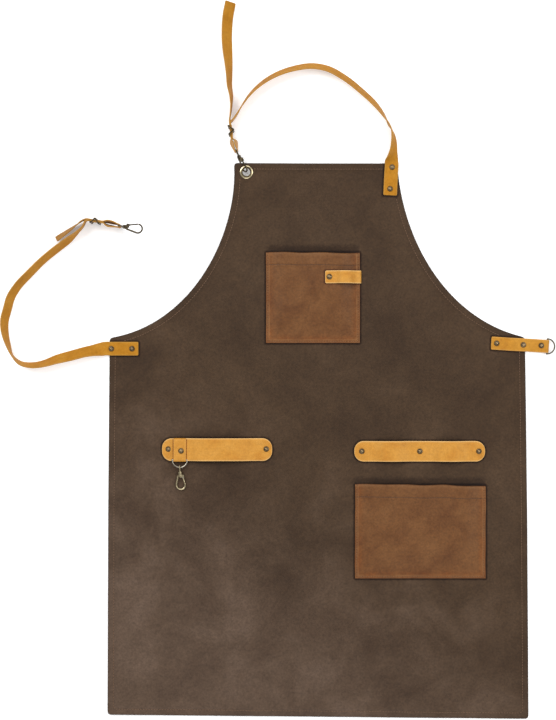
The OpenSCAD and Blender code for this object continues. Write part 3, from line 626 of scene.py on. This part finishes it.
hz = lie(hem[:, 0], hem[:, 1])
stitches("hem_stitching", [drape(np.column_stack([hem, 2.34 + hz]))], 3.9, 3.0, 0.36, THREAD, skip=under_straps, closed=True, replaces=["panel_hem_stitch"])
stitches("hem_stitching_back", [drape(np.column_stack([hem, 0.2 + hz]))], 3.9, 3.0, 0.2, THREAD, closed=True, skip=lambda p: math.hypot(p[0] - EC[0], p[1] - EC[1]) < 12.5)


# ------------------------------------------------------------------ pockets
def pocket(name, x0, x1, y0, y1, hem_d, full_at, replaces, edge_line, hem_line, seed, tilt):
    """Patch pocket: edges stitched flat, the body standing a little off the panel, and a double, stitched hem along its open top edge."""
    xs = np.unique(np.concatenate([x0 + np.array([0, 0.25, 0.7, 1.4, 2.2, 2.8, 3.4, 4.6, 6, 8, 10.5, 13]), np.arange(x0 + 16, x1 - 15, 3.0), x1 - np.array([0, 0.25, 0.7, 1.4, 2.2, 2.8, 3.4, 4.6, 6, 8, 10.5, 13])]))
    ys = np.unique(np.concatenate([y0 + np.array([0, 0.25, 0.7, 1.4, 2.2, 2.8, 3.4, 4.6, 6, 8, 10.5, 13]), np.arange(y0 + 16, y1 - 24, 3.0),
                                   y1 - np.array([0, 0.3, 0.8, 1.6, 3, 6, 9, 12, 15, hem_d - 1.2, hem_d - 0.5, hem_d, hem_d + 0.5, hem_d + 1.2, hem_d + 3, hem_d + 5])]))
    X, Y = np.meshgrid(xs, ys)
    nx, ny = len(xs), len(ys)
    dx = np.minimum(X - x0, x1 - X)
    dyb, dyt = Y - y0, y1 - Y
    S = sm(4, 30, dx) * sm(4, 52, dyb)
    wave = 0.5 + 0.5 * np.sin((X - x0) / (x1 - x0) * math.pi * 3.1 + seed)
    fx, fy = full_at
    hold = 1 - sm(16, 40, np.hypot(X - fx, (Y - fy) * 0.8))
    slack = (0.55 + 0.30 * wave * sm(70, 0, dyt) + 0.12 * fnoise(X, Y, 40, seed).reshape(X.shape))
    S = S * np.clip(slack * (1 - hold) + hold, 0, 1)
    base_z = 1.4 + lie(X, Y).reshape(X.shape)
    zt = base_z + 1.6 + 4.95 * S
    dmin = np.minimum(dx, dyb)
    # stitched line pulls the edge down; the cut edge is rounded over
    zt -= 0.22 * np.exp(-((dmin - 2.8) / 0.45) ** 2)
    zt -= 0.5 * (1 - sm(0, 0.9, dmin))
    band = 1 - sm(hem_d + 0.8, hem_d + 2.8, dyt)
    inside_x = sm(6, 14, dx)
    zt += 0.35 * band * sm(0, 2, dyt)
    zt -= 0.34 * np.exp(-((dyt - hem_d) / 0.5) ** 2)
    thick = 1.6 + 1.2 * band * inside_x
    zt += 0.05 * fnoise(X, Y, 7, seed + 4).reshape(X.shape)
    zb = np.maximum(zt - thick, base_z)
    zb += 0.25 * (1 - sm(0, 0.6, dmin)) * 0
    # the top edge is rolled, so its first rows close round
    roll = 1 - sm(0, 1.7, dyt)
    mid_z = (zt + zb) / 2
    zt = zt * (1 - roll) + (mid_z + (zt - mid_z) * np.sqrt(np.clip(1 - roll ** 2, 0, 1))) * roll
    zb2 = zb * (1 - roll) + (mid_z + (zb - mid_z) * np.sqrt(np.clip(1 - roll ** 2, 0, 1))) * roll
    dYm = 1.3 * fnoise(X[0], X[0] * 0, 34, seed + 2)[None, :] * (1 - sm(0, 60, dyt)) + tilt * (X - (x0 + x1) / 2) / (x1 - x0) * (Y - y0) / (y1 - y0)
    dXe = 0.5 * fnoise(X * 0, Y, 40, seed + 6).reshape(X.shape)
    XX, YY = X + dXe * (1 - sm(0, 40, dx)), Y + dYm
    V = np.concatenate([np.stack([XX, YY, zt], -1).reshape(-1, 3), np.stack([XX, YY, zb2], -1).reshape(-1, 3)])
    nn = nx * ny
    F = []
    for j in range(ny - 1):
        for i in range(nx - 1):
            a = j * nx + i
            F.append((a, a + 1, a + nx + 1, a + nx))
            F.append((nn + a, nn + a + nx, nn + a + nx + 1, nn + a + 1))
    for i in range(nx - 1):
        F.append((i, nn + i, nn + i + 1, i + 1))
        a = (ny - 1) * nx + i
        F.append((a, a + 1, nn + a + 1, nn + a))
    for j in range(ny - 1):
        a = j * nx
        F.append((a, a + nx, nn + a + nx, nn + a))
        a = j * nx + nx - 1
        F.append((a, nn + a, nn + a + nx, a + nx))
    dk = 0.55 * (1 - sm(0, 1.0, dmin)) + 0.4 * np.exp(-((dmin - 2.8) / 0.6) ** 2) + 0.4 * np.exp(-((dyt - hem_d) / 0.7) ** 2) + 0.25 * (1 - sm(0, 1.6, dyt))
    dk = np.clip(dk, 0, 0.8)
    # pale lines: the rounded cut edge in its own pale colour, and painted highlight on the raised leather inside the
    # stitching and below the mouth
    e = 0.55 * np.exp(-((dmin - 4.4) / 0.7) ** 2) * (dyt > 2) + 0.4 * np.exp(-((dmin - 0.9) / 0.5) ** 2) + 0.5 * np.exp(-((dyt - 2.2) / 0.9) ** 2)
    e = np.clip(e * (0.7 + 0.5 * fnoise(X, Y, 12, seed + 9).reshape(X.shape)), 0, 0.8)
    wm = np.clip((1 - sm(3, 15, dmin)) * (0.75 + 0.5 * fnoise(X, Y, 18, seed + 12).reshape(X.shape)), 0, 1) * 0.8
    fl = np.concatenate([np.zeros(nn), (sm(3, 12, dx) * (dyt > 1)).ravel()])
    o = piece(name, V, F, POCKET, {"edge": np.concatenate([e.ravel(), e.ravel()]), "flesh": fl, "dark": np.concatenate([dk.ravel(), dk.ravel()]), "warm": np.concatenate([wm.ravel(), wm.ravel() * 0])}, slot="pocket_leather", replaces=replaces)
    def surf(px, py):
        i = np.clip(np.searchsorted(xs, px) - 1, 0, nx - 2)
        j = np.clip(np.searchsorted(ys, py) - 1, 0, ny - 2)
        a, b = (px - xs[i]) / (xs[i + 1] - xs[i]), (py - ys[j]) / (ys[j + 1] - ys[j])
        def q(A):
            return A[j, i] * (1 - a) * (1 - b) + A[j, i + 1] * a * (1 - b) + A[j + 1, i] * (1 - a) * b + A[j + 1, i + 1] * a * b
        return np.array([q(XX), q(YY), q(zt)])
    g = 2.8
    pts = [(x0 + g, y) for y in np.arange(y1 - 1.0, y0 + g, -2)] + [(x, y0 + g) for x in np.arange(x0 + g, x1 - g, 2)] + [(x1 - g, y) for y in np.arange(y0 + g, y1 - 1.0, 2)]
    sk = (lambda p: p[0] > 50 and 224 < p[1] < 249) if "chest" in name else None
    stitches(edge_line[0], [[surf(*p) + np.array([0, 0, 0.16]) for p in pts]], 3.6, 2.8, 0.34, THREAD_P, skip=sk, replaces=[edge_line[1]])
    hp = [(x, y1 - hem_d) for x in np.arange(x0 + 4.6, x1 - 4.5, 2)]
    stitches(hem_line[0], [[surf(*p) + np.array([0, 0, 0.16]) for p in hp]], 3.6, 2.8, 0.34, THREAD_H, replaces=[hem_line[1]])
    return o


pocket("chest_pocket_leather", -75.5, 60.8, 140.5, 272, 18, (20, 236.5), ["chest_pocket"], ("chest_pocket_edge_stitching", "chest_pocket_edge_stitch"), ("chest_pocket_hem_stitching", "chest_pocket_hem_stitch"), 1.3, -0.6)
pocket("lower_pocket_leather", 53.4, 243, -200.5, -65, 18.5, (-500, -500), ["lower_pocket"], ("lower_pocket_edge_stitching", "lower_pocket_edge_stitch"), ("lower_pocket_hem_stitching", "lower_pocket_hem_stitch"), 4.1, -2.4)


# ------------------------------------------------------------------ strips of strap leather
FT = [-1, -0.94, -0.86, -0.7, -0.45, -0.2, 0, 0.2, 0.45, 0.7, 0.86, 0.94, 1]
PROF = [(f, 0.0, 1.0) for f in FT] + [(1, math.sin(T_(a)), math.cos(T_(a))) for a in (30, 60, 90, 120, 150)] + \
       [(f, 0.0, -1.0) for f in FT[::-1]] + [(-1, -math.sin(T_(a)), math.cos(T_(a))) for a in (150, 120, 90, 60, 30)]


def sweep(name, C, Wd, Nn, hw, th, closed=False, seed=0.0, re=0.6, mat=None, pale=0.9, flesh_w=1.0, shade=None, **kw):
    """A flat strap along C, with across vectors Wd, grain-side normals Nn, half widths hw and thickness th: rounded, pale cut edges, and a rough flesh side underneath."""
    C, Wd, Nn = np.asarray(C, float), np.asarray(Wd, float), np.asarray(Nn, float)
    n, m = len(C), len(PROF)
    hw = np.broadcast_to(np.asarray(hw, float), (n,)).copy()
    th = np.broadcast_to(np.asarray(th, float), (n,)).copy()
    s = np.concatenate([[0], np.cumsum(np.linalg.norm(np.diff(C, axis=0), axis=1))])
    V, E, FLs, UV = [], [], [], []
    wob = 0.22 * fnoise(s, s * 0 + 3, 22, seed + 1)
    for i in range(n):
        for f, c, b in PROF:
            r = min(re, hw[i] * 0.5)
            a = f * (hw[i] - r + (wob[i] if f > 0 else -wob[i]) * 0.5) + c * r
            crown = -0.10 * abs(f) ** 4
            V.append(C[i] + Wd[i] * a + Nn[i] * (b * th[i] / 2 + (crown if b > 0 else 0)))
            dist = hw[i] - abs(a)
            E.append(pale * (1 - float(sm(0.4, 1.9, dist))) if abs(f) < 1 or b == 1 or b == -1 else pale)
            FLs.append(flesh_w if b < -0.5 else 0.0)
            UV.append((s[i] * MM, a * MM + seed))
    F = []
    rngs = n if closed else n - 1
    for i in range(rngs):
        j = (i + 1) % n
        for k in range(m):
            l = (k + 1) % m
            F.append((i * m + k, i * m + l, j * m + l, j * m + k))
    V = np.array(V)
    if not closed:
        for i0, flip in ((0, False), (n - 1, True)):
            f = list(range(i0 * m, i0 * m + m))
            F.append(f if flip else f[::-1])
        E = np.array(E).reshape(n, m)
        ends = pale * (1 - sm(0.0, 1.2, np.minimum(s, s[-1] - s)))
        E = np.maximum(E, ends[:, None]).ravel()
    # one orientation for all
    v0, v1, v2 = V[F[0][0]], V[F[0][1]], V[F[0][2]]
    fn = np.cross(v1 - v0, v2 - v0)
    if np.dot(fn, Nn[0]) < 0:
        F = [tuple(reversed(f)) for f in F]
    o = piece(name, V, F, mat or STRAP, {"edge": np.asarray(E), "flesh": FLs, "dark": np.zeros(len(V)) if shade is None else np.repeat(shade, m)}, uv=UV, **kw)
    return o, s[-1]


def end_fade(s, total, r, hw):
    """Half width along a strap whose ends have corners of radius r."""
    d = np.minimum(s, total - s)
    x = np.clip(r - d, 0, r)
    return hw - r + np.sqrt(np.clip(r * r - x * x, 0, None))


def end_thin(s, total, th):
    d = np.minimum(s, total - s)
    return th * (0.55 + 0.45 * np.sqrt(np.clip(1 - (1 - np.clip(d / 0.7, 0, 1)) ** 2, 0, 1)))


def samples_for(total, r, step=2.6):
    """Arc lengths, closer together at the rounded ends."""
    k = [r * (1 - math.cos(a)) for a in np.linspace(0, math.pi / 2, 10)] if r > 1 else [0, 0.25, 0.6, 1]
    k = sorted(set([0, 0.2, 0.5] + [round(v, 4) for v in k]))
    mid = list(np.arange(r + step, total - r - step / 2, step))
    return np.array(k + mid + [total - v for v in k[::-1]])


def cad_ramp(x0, z0, x1, z1, n):
    return [(x0 + (x1 - x0) * i / n, z0 + (z1 - z0) * (3 * (i / n) ** 2 - 2 * (i / n) ** 3)) for i in range(n + 1)]


def along_x(path, total_step=2.4):
    p = np.array(path, float)
    keep = [0] + [i for i in range(1, len(p)) if np.linalg.norm(p[i] - p[i - 1]) > 1e-6]
    return p[keep]


LOW, MID = 1.4 + 0.9 + 0.05, 2.5 + 0.9 + 0.05


def towel(name, path, x0, x1, y0, y1, r, node, seed):
    p = along_x(path)
    xs = x0 + samples_for(x1 - x0, r)
    z = np.interp(xs, p[:, 0], p[:, 1])
    for _ in range(3):
        z[1:-1] = 0.5 * z[1:-1] + 0.25 * (z[:-2] + z[2:])
    yc = np.full(len(xs), (y0 + y1) / 2)
    C = np.column_stack([xs, yc, z])
    T = unit(np.gradient(C, axis=0))
    Wd = np.tile([0, 1.0, 0], (len(xs), 1))
    Nn = unit(np.cross(T, Wd))
    Nn[Nn[:, 2] < 0] *= -1
    s = xs - x0
    o, ln = sweep(name, C, Wd, Nn, end_fade(s, x1 - x0, r, (y1 - y0) / 2), end_thin(s, x1 - x0, 1.8), seed=seed, mat=STRAP_T, slot="strap_leather", replaces=[node])
    return o


towel("towel_strap_left_leather", [(-226, LOW), (-214, LOW)] + cad_ramp(-214, LOW, -209.6, 5.2, 4)[1:] + [(-190, 5.2)] + cad_ramp(-190, 5.2, -170, 8.6, 6)[1:] + [(-122, 8.6)] + cad_ramp(-122, 8.6, -88, LOW, 10)[1:] + [(-66, LOW)],
      -226, -66.5, -30.3, 2.7, 14, "towel_strap_left", 0.3)
towel("towel_strap_right_leather", [(52, LOW), (78, LOW)] + cad_ramp(78, LOW, 98, 8.6, 8)[1:] + [(114, 8.6)] + cad_ramp(114, 8.6, 133, LOW, 8)[1:] + [(162, LOW)] + cad_ramp(162, LOW, 182, 8.6, 8)[1:] + [(199, 8.6)] + cad_ramp(199, 8.6, 218, LOW, 8)[1:] + [(243, LOW)],
      52.5, 242, -31.2, -1.4, 13.6, "towel_strap_right", 0.7)


def strip_2d(name, path, to_world, hw, th, node, corner=(1.5, 1.5), seed=0.0, closed=False, step=1.6, mat=None, pale=0.9):
    """A strip bent in one plane: path is (along, height); to_world maps (along, across, height) to the frame."""
    p = along_x(path)
    seg = np.linalg.norm(np.diff(p, axis=0), axis=1)
    cum = np.concatenate([[0], np.cumsum(seg)])
    n = int(cum[-1] / step)
    u = np.linspace(0, cum[-1], n + 1)
    if closed:
        u = u[:-1]
    else:
        u = np.unique(np.concatenate([[0, 0.2, 0.5, 0.9, 1.5], u[2:-2], cum[-1] - np.array([0, 0.2, 0.5, 0.9, 1.5])]))
    q = np.column_stack([np.interp(u, cum, p[:, 0]), np.interp(u, cum, p[:, 1])])
    for _ in range(2):
        if closed:
            q = 0.5 * q + 0.25 * (np.roll(q, 1, 0) + np.roll(q, -1, 0))
        else:
            q[1:-1] = 0.5 * q[1:-1] + 0.25 * (q[:-2] + q[2:])
    T = unit(np.roll(q, -1, 0) - np.roll(q, 1, 0)) if closed else unit(np.gradient(q, axis=0))
    C = np.array([to_world(a, 0, h) for a, h in q])
    Wd = unit(np.array([to_world(a, 1, h) for a, h in q]) - C)
    Nn = np.array([to_world(a - t[1], 0, h + t[0]) for (a, h), t in zip(q, T)]) - C
    if closed:
        w = np.full(len(u), hw)
        t = np.full(len(u), th)
    else:
        w = np.where(u < cum[-1] / 2, end_fade(u, 1e9, corner[0], hw), end_fade(cum[-1] - u, 1e9, corner[1], hw))
        t = end_thin(u, cum[-1], th)
    if closed:
        Nn = -Nn
    o, ln = sweep(name, C, Wd, unit(Nn), w, t, closed=closed, seed=seed, mat=mat, pale=pale, slot="strap_leather", replaces=[node])
    return o


PK = 8.0
strip_2d("pen_loop_leather", [(10.2, PK + .95), (24, PK + .95)] + cad_ramp(24, PK + .95, 34, PK + 5.8, 6)[1:] + [(42, PK + 5.8)] + cad_ramp(42, PK + 5.8, 58, 5.2, 8)[1:] + [(61.2, 4.6), (62, 3.6), (62, 1.75)],
         lambda a, w, h: np.array([a, 236.2 + w, h]), 9.3, 1.6, "pen_loop", corner=(1.8, 0.5), seed=1.1)

KX, KB = -200.2, (-28.5, 5.2)
ring_r = 1.35 + 0.85
loop = [(0.2 + ring_r * math.cos(T_(a)), KB[1] + ring_r * math.sin(T_(a))) for a in range(-90, 91, 18)] + \
       [(y, KB[1] + ring_r) for y in np.arange(-1.4, -27.6, -2.2)] + \
       [(KB[0] + ring_r * math.cos(T_(a)), KB[1] + ring_r * math.sin(T_(a))) for a in range(90, 271, 18)] + \
       [(y, KB[1] - ring_r) for y in np.arange(-27, -0.8, 2.2)]
loop = loop + [loop[0]]
strip_2d("key_hanger_loop_leather", loop, lambda a, w, h: np.array([KX + w, a, h]), 9.1, 1.7, "key_hanger_loop", seed=1.9, closed=True, step=1.1, pale=0.15)

SO, SR = np.array([250.9, 140.6]), T_(-3.4)


def side_world(a, w, h):
    return np.array([SO[0] + a * math.cos(SR) - w * math.sin(SR), SO[1] + a * math.sin(SR) + w * math.cos(SR), h])


side_path = [(0, LOW), (33, LOW)] + cad_ramp(33, LOW, 39, MID, 4)[1:] + [(50, MID), (63, MID)] + cad_ramp(63, MID, 67, 3.95, 3)[1:] + [(76.4, 3.95)] + cad_ramp(76.4, 3.95, 80.3, 5.55, 4)[1:] + \
            [(81 + 2.2 * math.cos(T_(a)), 3.35 + 2.2 * math.sin(T_(a))) for a in (70, 42, 14, -14, -42, -70)] + [(80, 1.15), (72, 1.5), (64, 1.3), (55, 1.1)]
side_path = side_path[:-4] + [(80, 1.2), (72, 1.5), (64, 1.3), (55, 1.1)]
strip_2d("side_tab_leather", side_path, side_world, 9.5, 1.7, "side_tab", corner=(1.6, 0.6), seed=2.3, step=1.2, mat=TAB, pale=0.35)


# ------------------------------------------------------------------ neck and waist straps
def smooth_rows(rows, k):
    P = np.array(rows, float)
    n = len(P)
    g = np.linalg.norm(np.diff(P[:, :3], axis=0), axis=1)
    m = np.zeros_like(P)
    m[0], m[-1] = (P[1] - P[0]) / g[0], (P[-1] - P[-2]) / g[-1]
    for i in range(1, n - 1):
        a, b = g[i - 1], g[i]
        m[i] = ((P[i] - P[i - 1]) / a * b + (P[i + 1] - P[i]) / b * a) / (a + b)
    res = []
    for i in range(n - 1):
        d = g[i]
        kk = max(k, int(d / 3.2))
        for j in range(kk):
            t = j / kk
            t2, t3 = t * t, t ** 3
            res.append((2 * t3 - 3 * t2 + 1) * P[i] + (t3 - 2 * t2 + t) * m[i] * d + (3 * t2 - 2 * t3) * P[i + 1] + (t3 - t2) * m[i + 1] * d)
    res.append(P[-1])
    return np.array(res)


def row(x, y, r):
    return [x, y, 10 * math.sin(T_(r)) + 0.9 * abs(math.cos(T_(r))) + 0.25, r]


ON_Z, BEND = 13.4, 2.15


def to_w(o, a, s, t, z):
    a = T_(a)
    return [o[0] + s * math.cos(a) - t * math.sin(a), o[1] + s * math.sin(a) + t * math.cos(a), z, 90]


def turned(p, r):
    return [*p[:3], r]


def loop_rows(o, a, side, e, ez):
    """The strap's closed end: through the slider, opened out with its flesh side turned up, round the hook's eye and back."""
    g = math.degrees(math.atan2(e[1], e[0]))
    w, r = (2.7, 99) if side > 0 else (2.7, 98)
    out = [turned(to_w(o, a, e[0] * k, e[1] * (k - .1) + side * w, ON_Z + (ez - ON_Z) * k), r) for k in (.5, .74)]
    back = [turned(to_w(o, a, e[0] * k, e[1] * (k - .1) - side * w, ON_Z + (ez - ON_Z) * k), r) for k in (.74, .5)]
    return [to_w(o, a, s, side * 0.95, ON_Z) for s in (-13, -4, 5)] + [turned(to_w(o, a, 12, side * 0.95, ON_Z), 91)] + out + \
        [to_w(o, a, e[0] + BEND * math.cos(T_(g + side * (105 - 35 * k))), e[1] + BEND * math.sin(T_(g + side * (105 - 35 * k))), ez) for k in range(7)] + \
        back + [turned(to_w(o, a, 12, -side * 0.95, ON_Z), 91)] + [to_w(o, a, s, -side * 0.95, ON_Z) for s in (5, -4, -13)]


def in_frame(o, a, p):
    d = (p[0] - o[0], p[1] - o[1])
    a = T_(a)
    return (d[0] * math.cos(a) + d[1] * math.sin(a), -d[0] * math.sin(a) + d[1] * math.cos(a))


def tab_rows(x, y, deg, flat_to, r0, r1, end):
    c, s = math.cos(T_(deg)), math.sin(T_(deg))
    zs = [(0, LOW), (flat_to * .33, LOW), (flat_to * .66, LOW), (flat_to, LOW), (r0 + (r1 - r0) * .25, LOW + 0.17), (r0 + (r1 - r0) * .5, (LOW + MID) / 2), (r0 + (r1 - r0) * .75, MID - 0.17), (r1 + 1, MID), (end - 3, MID)]
    return [[x + c * d, y + s * d, z, 0] for d, z in zs]


NE, NO, NA = (-118.7, 418.7, 12.5), (-125.5, 447.0), -84
WE, WO, WA = (-287.5, 309.5, 13.4), (-321.5, 316.5), -8
neck_rows = tab_rows(104.4, 354.6, 87.2, 28, 30, 36.5, 47.6) + \
    [[106.4, 403.6, MID + 0.4, 12], [107.2, 408.5, 5.8, 33], row(108.3, 414.5, 49), row(109.2, 421, 58), row(109.6, 430, 64), row(108.8, 440, 73), row(105.4, 451, 86), row(102.2, 456.5, 90), row(96.4, 467, 78),
     row(84, 484, 66), row(61, 506, 62), row(38, 524, 60), row(14, 537, 59), row(-9, 541, 60), row(-32, 538, 62), row(-55, 531, 65), row(-78, 518.5, 70), row(-101, 497, 79),
     row(-111, 482, 85), [-119, 468.5, 11.4, 90], [-124.2, 461.6, 12.9, 90]] + \
    loop_rows(NO, NA, 1, in_frame(NO, NA, NE), NE[2]) + \
    [[-127.2, 467, 12.6, 90], row(-125.5, 484, 86), row(-125.6, 498, 78), row(-128, 512, 72), row(-128.6, 530, 66), row(-129.5, 545, 58), row(-131.2, 565, 48),
     row(-132, 590, 44), row(-130.5, 612, 42), row(-126.6, 634, 42)]
waist_rows = tab_rows(-260.3, 132.4, 180, 22, 24, 30.5, 45.6) + \
    [[-306.8, 132.6, MID, 0], [-314, 131.5, MID, 14], row(-324, 130, 34), row(-338, 127.5, 42), row(-358, 122, 44), row(-378, 117, 50), row(-398, 110.5, 62), row(-415, 108.5, 68),
     row(-431, 112, 78), row(-441.5, 122, 90), row(-448, 138, 78), row(-452.5, 155, 68), row(-453.5, 171, 62), row(-449, 190, 60), row(-444.5, 206, 61),
     row(-434, 223, 63), row(-417, 241, 64), row(-398, 260, 66), row(-377, 277, 66), row(-360, 290, 70), [-348, 300.5, 11.4, 86], [-339.5, 309, 12.6, 90]] + \
    loop_rows(WO, WA, -1, in_frame(WO, WA, WE), WE[2]) + \
    [[-340, 317.4, 12.9, 88], [-347, 312.6, 12.3, 84], [-356, 306, 11.2, 76], row(-367, 298.5, 70), row(-378.5, 290.5, 64)]


def strap(name, rows, nodes, seed, tail=0.0):
    q = smooth_rows(rows, 4)
    # extra rings close the two cut ends
    def near(a, b, d):
        return a + (b - a) * d / np.linalg.norm((b - a)[:3])
    q = np.concatenate([[q[0], near(q[0], q[1], .2), near(q[0], q[1], .5), near(q[0], q[1], 1.0)], q[1:-1], [near(q[-1], q[-2], 1.0), near(q[-1], q[-2], .5), near(q[-1], q[-2], .2), q[-1]]])
    C = q[:, :3]
    T = unit(np.concatenate([[C[1] - C[0]], C[2:] - C[:-2], [C[-1] - C[-2]]]))
    H = unit(np.cross([0, 0, 1.0], T))
    Vv = np.cross(T, H)
    r = np.radians(q[:, 3])[:, None]
    Wd = np.cos(r) * H + np.sin(r) * Vv
    Nn = np.cross(T, Wd)
    s = np.concatenate([[0], np.cumsum(np.linalg.norm(np.diff(C, axis=0), axis=1))])
    # painted shade: the dark attribute rises past the strap's first 48 to 80 mm, for the runs that stand on edge; tail
    # darkens it further over the last 62 to 40 mm
    o, ln = sweep(name, C, Wd, Nn, end_fade(s, s[-1], 1.6, 10), end_thin(s, s[-1], 1.8), seed=seed, slot="strap_leather", mat=LONG, pale=0.45, shade=0.07 * sm(48, 80, s) + tail * sm(s[-1] - 62, s[-1] - 40, s), replaces=nodes, ride=False)
    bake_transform(o)
    return o


strap("neck_strap_leather", neck_rows, ["neck_strap", "neck_strap_tab"], 3.3)
strap("waist_strap_leather", waist_rows, ["waist_strap", "waist_strap_tab"], 4.7, tail=0.4)


# ------------------------------------------------------------------ turned metal parts
def lathe(prof, seg=48):
    prof = np.array(prof, float)
    V = [(r * math.cos(2 * math.pi * k / seg), r * math.sin(2 * math.pi * k / seg), z) for r, z in prof for k in range(seg)]
    F = []
    for i in range(len(prof) - 1):
        for k in range(seg):
            l = (k + 1) % seg
            F.append((i * seg + k, i * seg + l, (i + 1) * seg + l, (i + 1) * seg + k))
    return np.array(V), F


def lathe_closed(prof, seg=48):
    V, F = lathe(prof, seg)
    n = len(prof)
    for k in range(seg):
        l = (k + 1) % seg
        F.append(((n - 1) * seg + k, (n - 1) * seg + l, l, k))
    return V, F


CAP = [(0.02, 0.0), (3.3, 0.0), (3.85, 0.05), (4.0, 0.28), (3.98, 0.5), (3.8, 0.85), (3.45, 1.12), (3.0, 1.22), (2.55, 1.18), (2.3, 1.1), (2.1, 1.2), (1.85, 1.42), (1.3, 1.6), (0.7, 1.68), (0.02, 1.7)]
BACK = [(0.02, 0.8), (3.6, 0.8), (3.95, 0.66), (4.0, 0.4), (3.85, 0.16), (3.4, 0.02), (2.2, 0.0), (1.6, 0.12), (0.8, 0.16), (0.02, 0.16)]


def rivets(name, pts, nodes, zs_top, zs_bot, body="apron"):
    V, F, RB, GR = [], [], [], []
    for (x, y), zt, zb in zip(pts, zs_top, zs_bot):
        for prof, z in ((CAP, zt), (BACK, zb)):
            v, f = lathe(prof)
            a = len(V)
            rr = np.hypot(v[:, 0], v[:, 1])
            top_ = (v[:, 2] > 1.15) & (prof is CAP)
            RB += list(np.where(top_, 1 - sm(1.0, 1.9, rr), 0.0) + 0.5 * top_ * np.exp(-((rr - 3.0) / 0.5) ** 2))
            # darkened: patina in the groove at 2.3 mm, and painted shade on the cap's outer rim from 3.2 mm out
            GR += list(np.where(prof is CAP, sm(3.2, 3.8, rr) + np.exp(-((rr - 2.3) / 0.35) ** 2), 0.0))
            V += [(p[0] + x, p[1] + y, p[2] + z) for p in v]
            F += [tuple(a + i for i in q) for q in f]
            F.append(tuple(a + i for i in range(48)) if prof is BACK else tuple(a + i for i in reversed(range(48))))
            e = a + (len(prof) - 1) * 48
            F.append(tuple(e + i for i in range(48)) if prof is CAP else tuple(e + i for i in reversed(range(48))))
        v, f = lathe([(1.5, zb + 0.5), (1.5, zt + 0.6)], 20)
        a = len(V)
        V += [(p[0] + x, p[1] + y, p[2]) for p in v]
        RB += [0.0] * len(v)
        GR += [0.0] * len(v)
        F += [tuple(a + i for i in q) for q in f]
        F += [tuple(a + i for i in reversed(range(20))), tuple(a + 20 + i for i in range(20))]
    o = piece(name, V, F, BRASS_D, {"rubbed": RB, "grime_and_shade": GR}, body=body, slot="antique_brass", replaces=nodes)
    mod = o.modifiers.new("edges", "EDGE_SPLIT")
    mod.split_angle = T_(50)
    return o


rivets("neck_rivets", [(107.3, 395.3), (104.3, 364)], ["neck_rivet_caps", "neck_rivet_posts"], [4.35, 3.25], [.1, .1])
rivets("waist_rivets", [(-299.2, 132.4), (-269.5, 132.4)], ["waist_rivet_caps", "waist_rivet_posts"], [4.35, 3.25], [.1, .1])
rivets("side_rivets", [(258.7, 140.2), (297.2, 138), (323.2, 137)], ["side_rivet_caps", "side_rivet_posts"], [3.25, 4.35, 4.85], [.1, .1, .3])
rivets("towel_left_rivets", [(-216.8, -13), (-75, -13)], ["towel_left_rivet_caps", "towel_left_rivet_posts"], [3.25, 3.25], [.1, .1])
rivets("towel_right_rivets", [(63.4, -16.2), (147.5, -16.2), (233, -16.2)], ["towel_right_rivet_caps", "towel_right_rivet_posts"], [3.25] * 3, [.1] * 3)
rivets("key_loop_rivet", [(-198.2, -15.4)], ["key_loop_rivet_cap", "key_loop_rivet_post"], [8.3], [2.25])
rivets("pen_loop_rivet", [(16.2, 236.5)], ["pen_loop_rivet_cap", "pen_loop_rivet_post"], [9.85], [6.5])

# eyelet with a rolled lip and its barrel, washer on the back
EYP = [(5.62, -1.1), (5.6, 2.9), (5.75, 3.25), (6.3, 3.55), (7.2, 3.72), (8.2, 3.6), (9.1, 3.3), (9.75, 2.85), (9.8, 2.56), (9.3, 2.53), (6.2, 2.53), (6.1, 2.0), (6.05, -1.1)]
v, f = lathe_closed(EYP, 64)
rr, zz = np.hypot(v[:, 0], v[:, 1]), v[:, 2].copy()
# painted shade: the eyelet is dark everywhere but the outer half of its lip, so its hole reads dark; the lip's crest is
# rubbed bright
rub, grime_and_shade = (zz > 2.55) * np.exp(-((rr - 8.7) / 0.8) ** 2), 1 - sm(6.7, 8.0, rr) * (zz > 2.55)
v = drape(v + np.array([EC[0], EC[1], 0]))
eye = piece("eyelet_ring", v, f, EYE, {"rubbed": rub, "grime_and_shade": grime_and_shade}, slot="antique_brass", replaces=["eyelet"])
WSP = [(6.15, -0.03), (9.0, -0.03), (9.4, -0.2), (9.3, -0.5), (8.8, -0.65), (7.6, -0.6), (6.3, -0.5)]
v, f = lathe_closed(WSP, 64)
v = drape(v + np.array([EC[0], EC[1], 0]))
piece("eyelet_back_washer", v, f, EYE, slot="antique_brass", replaces=["eyelet_washer"])

# ------------------------------------------------------------------ carried-over hardware
FIN = {"neck_slider": BRASS, "waist_slider": BRASS, "key_d_ring": NICKEL, "side_d_ring": GUN,
       "neck_hook_eye": BRASS, "neck_hook_body": BRASS, "neck_hook_gate": BRASS, "waist_hook_eye": BRASS, "waist_hook_body": BRASS, "waist_hook_gate": BRASS,
       "key_hook_eye": BRASS_L, "key_hook_body": BRASS_L, "key_hook_gate": BRASS_L,
       "neck_gate_pin": STEEL, "waist_gate_pin": STEEL, "key_gate_pin": STEEL, "neck_gate_spring": STEEL, "waist_gate_spring": STEEL, "key_gate_spring": STEEL}
for n, m in FIN.items():
    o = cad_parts[n]
    o.data.materials.clear()
    o.data.materials.append(m)
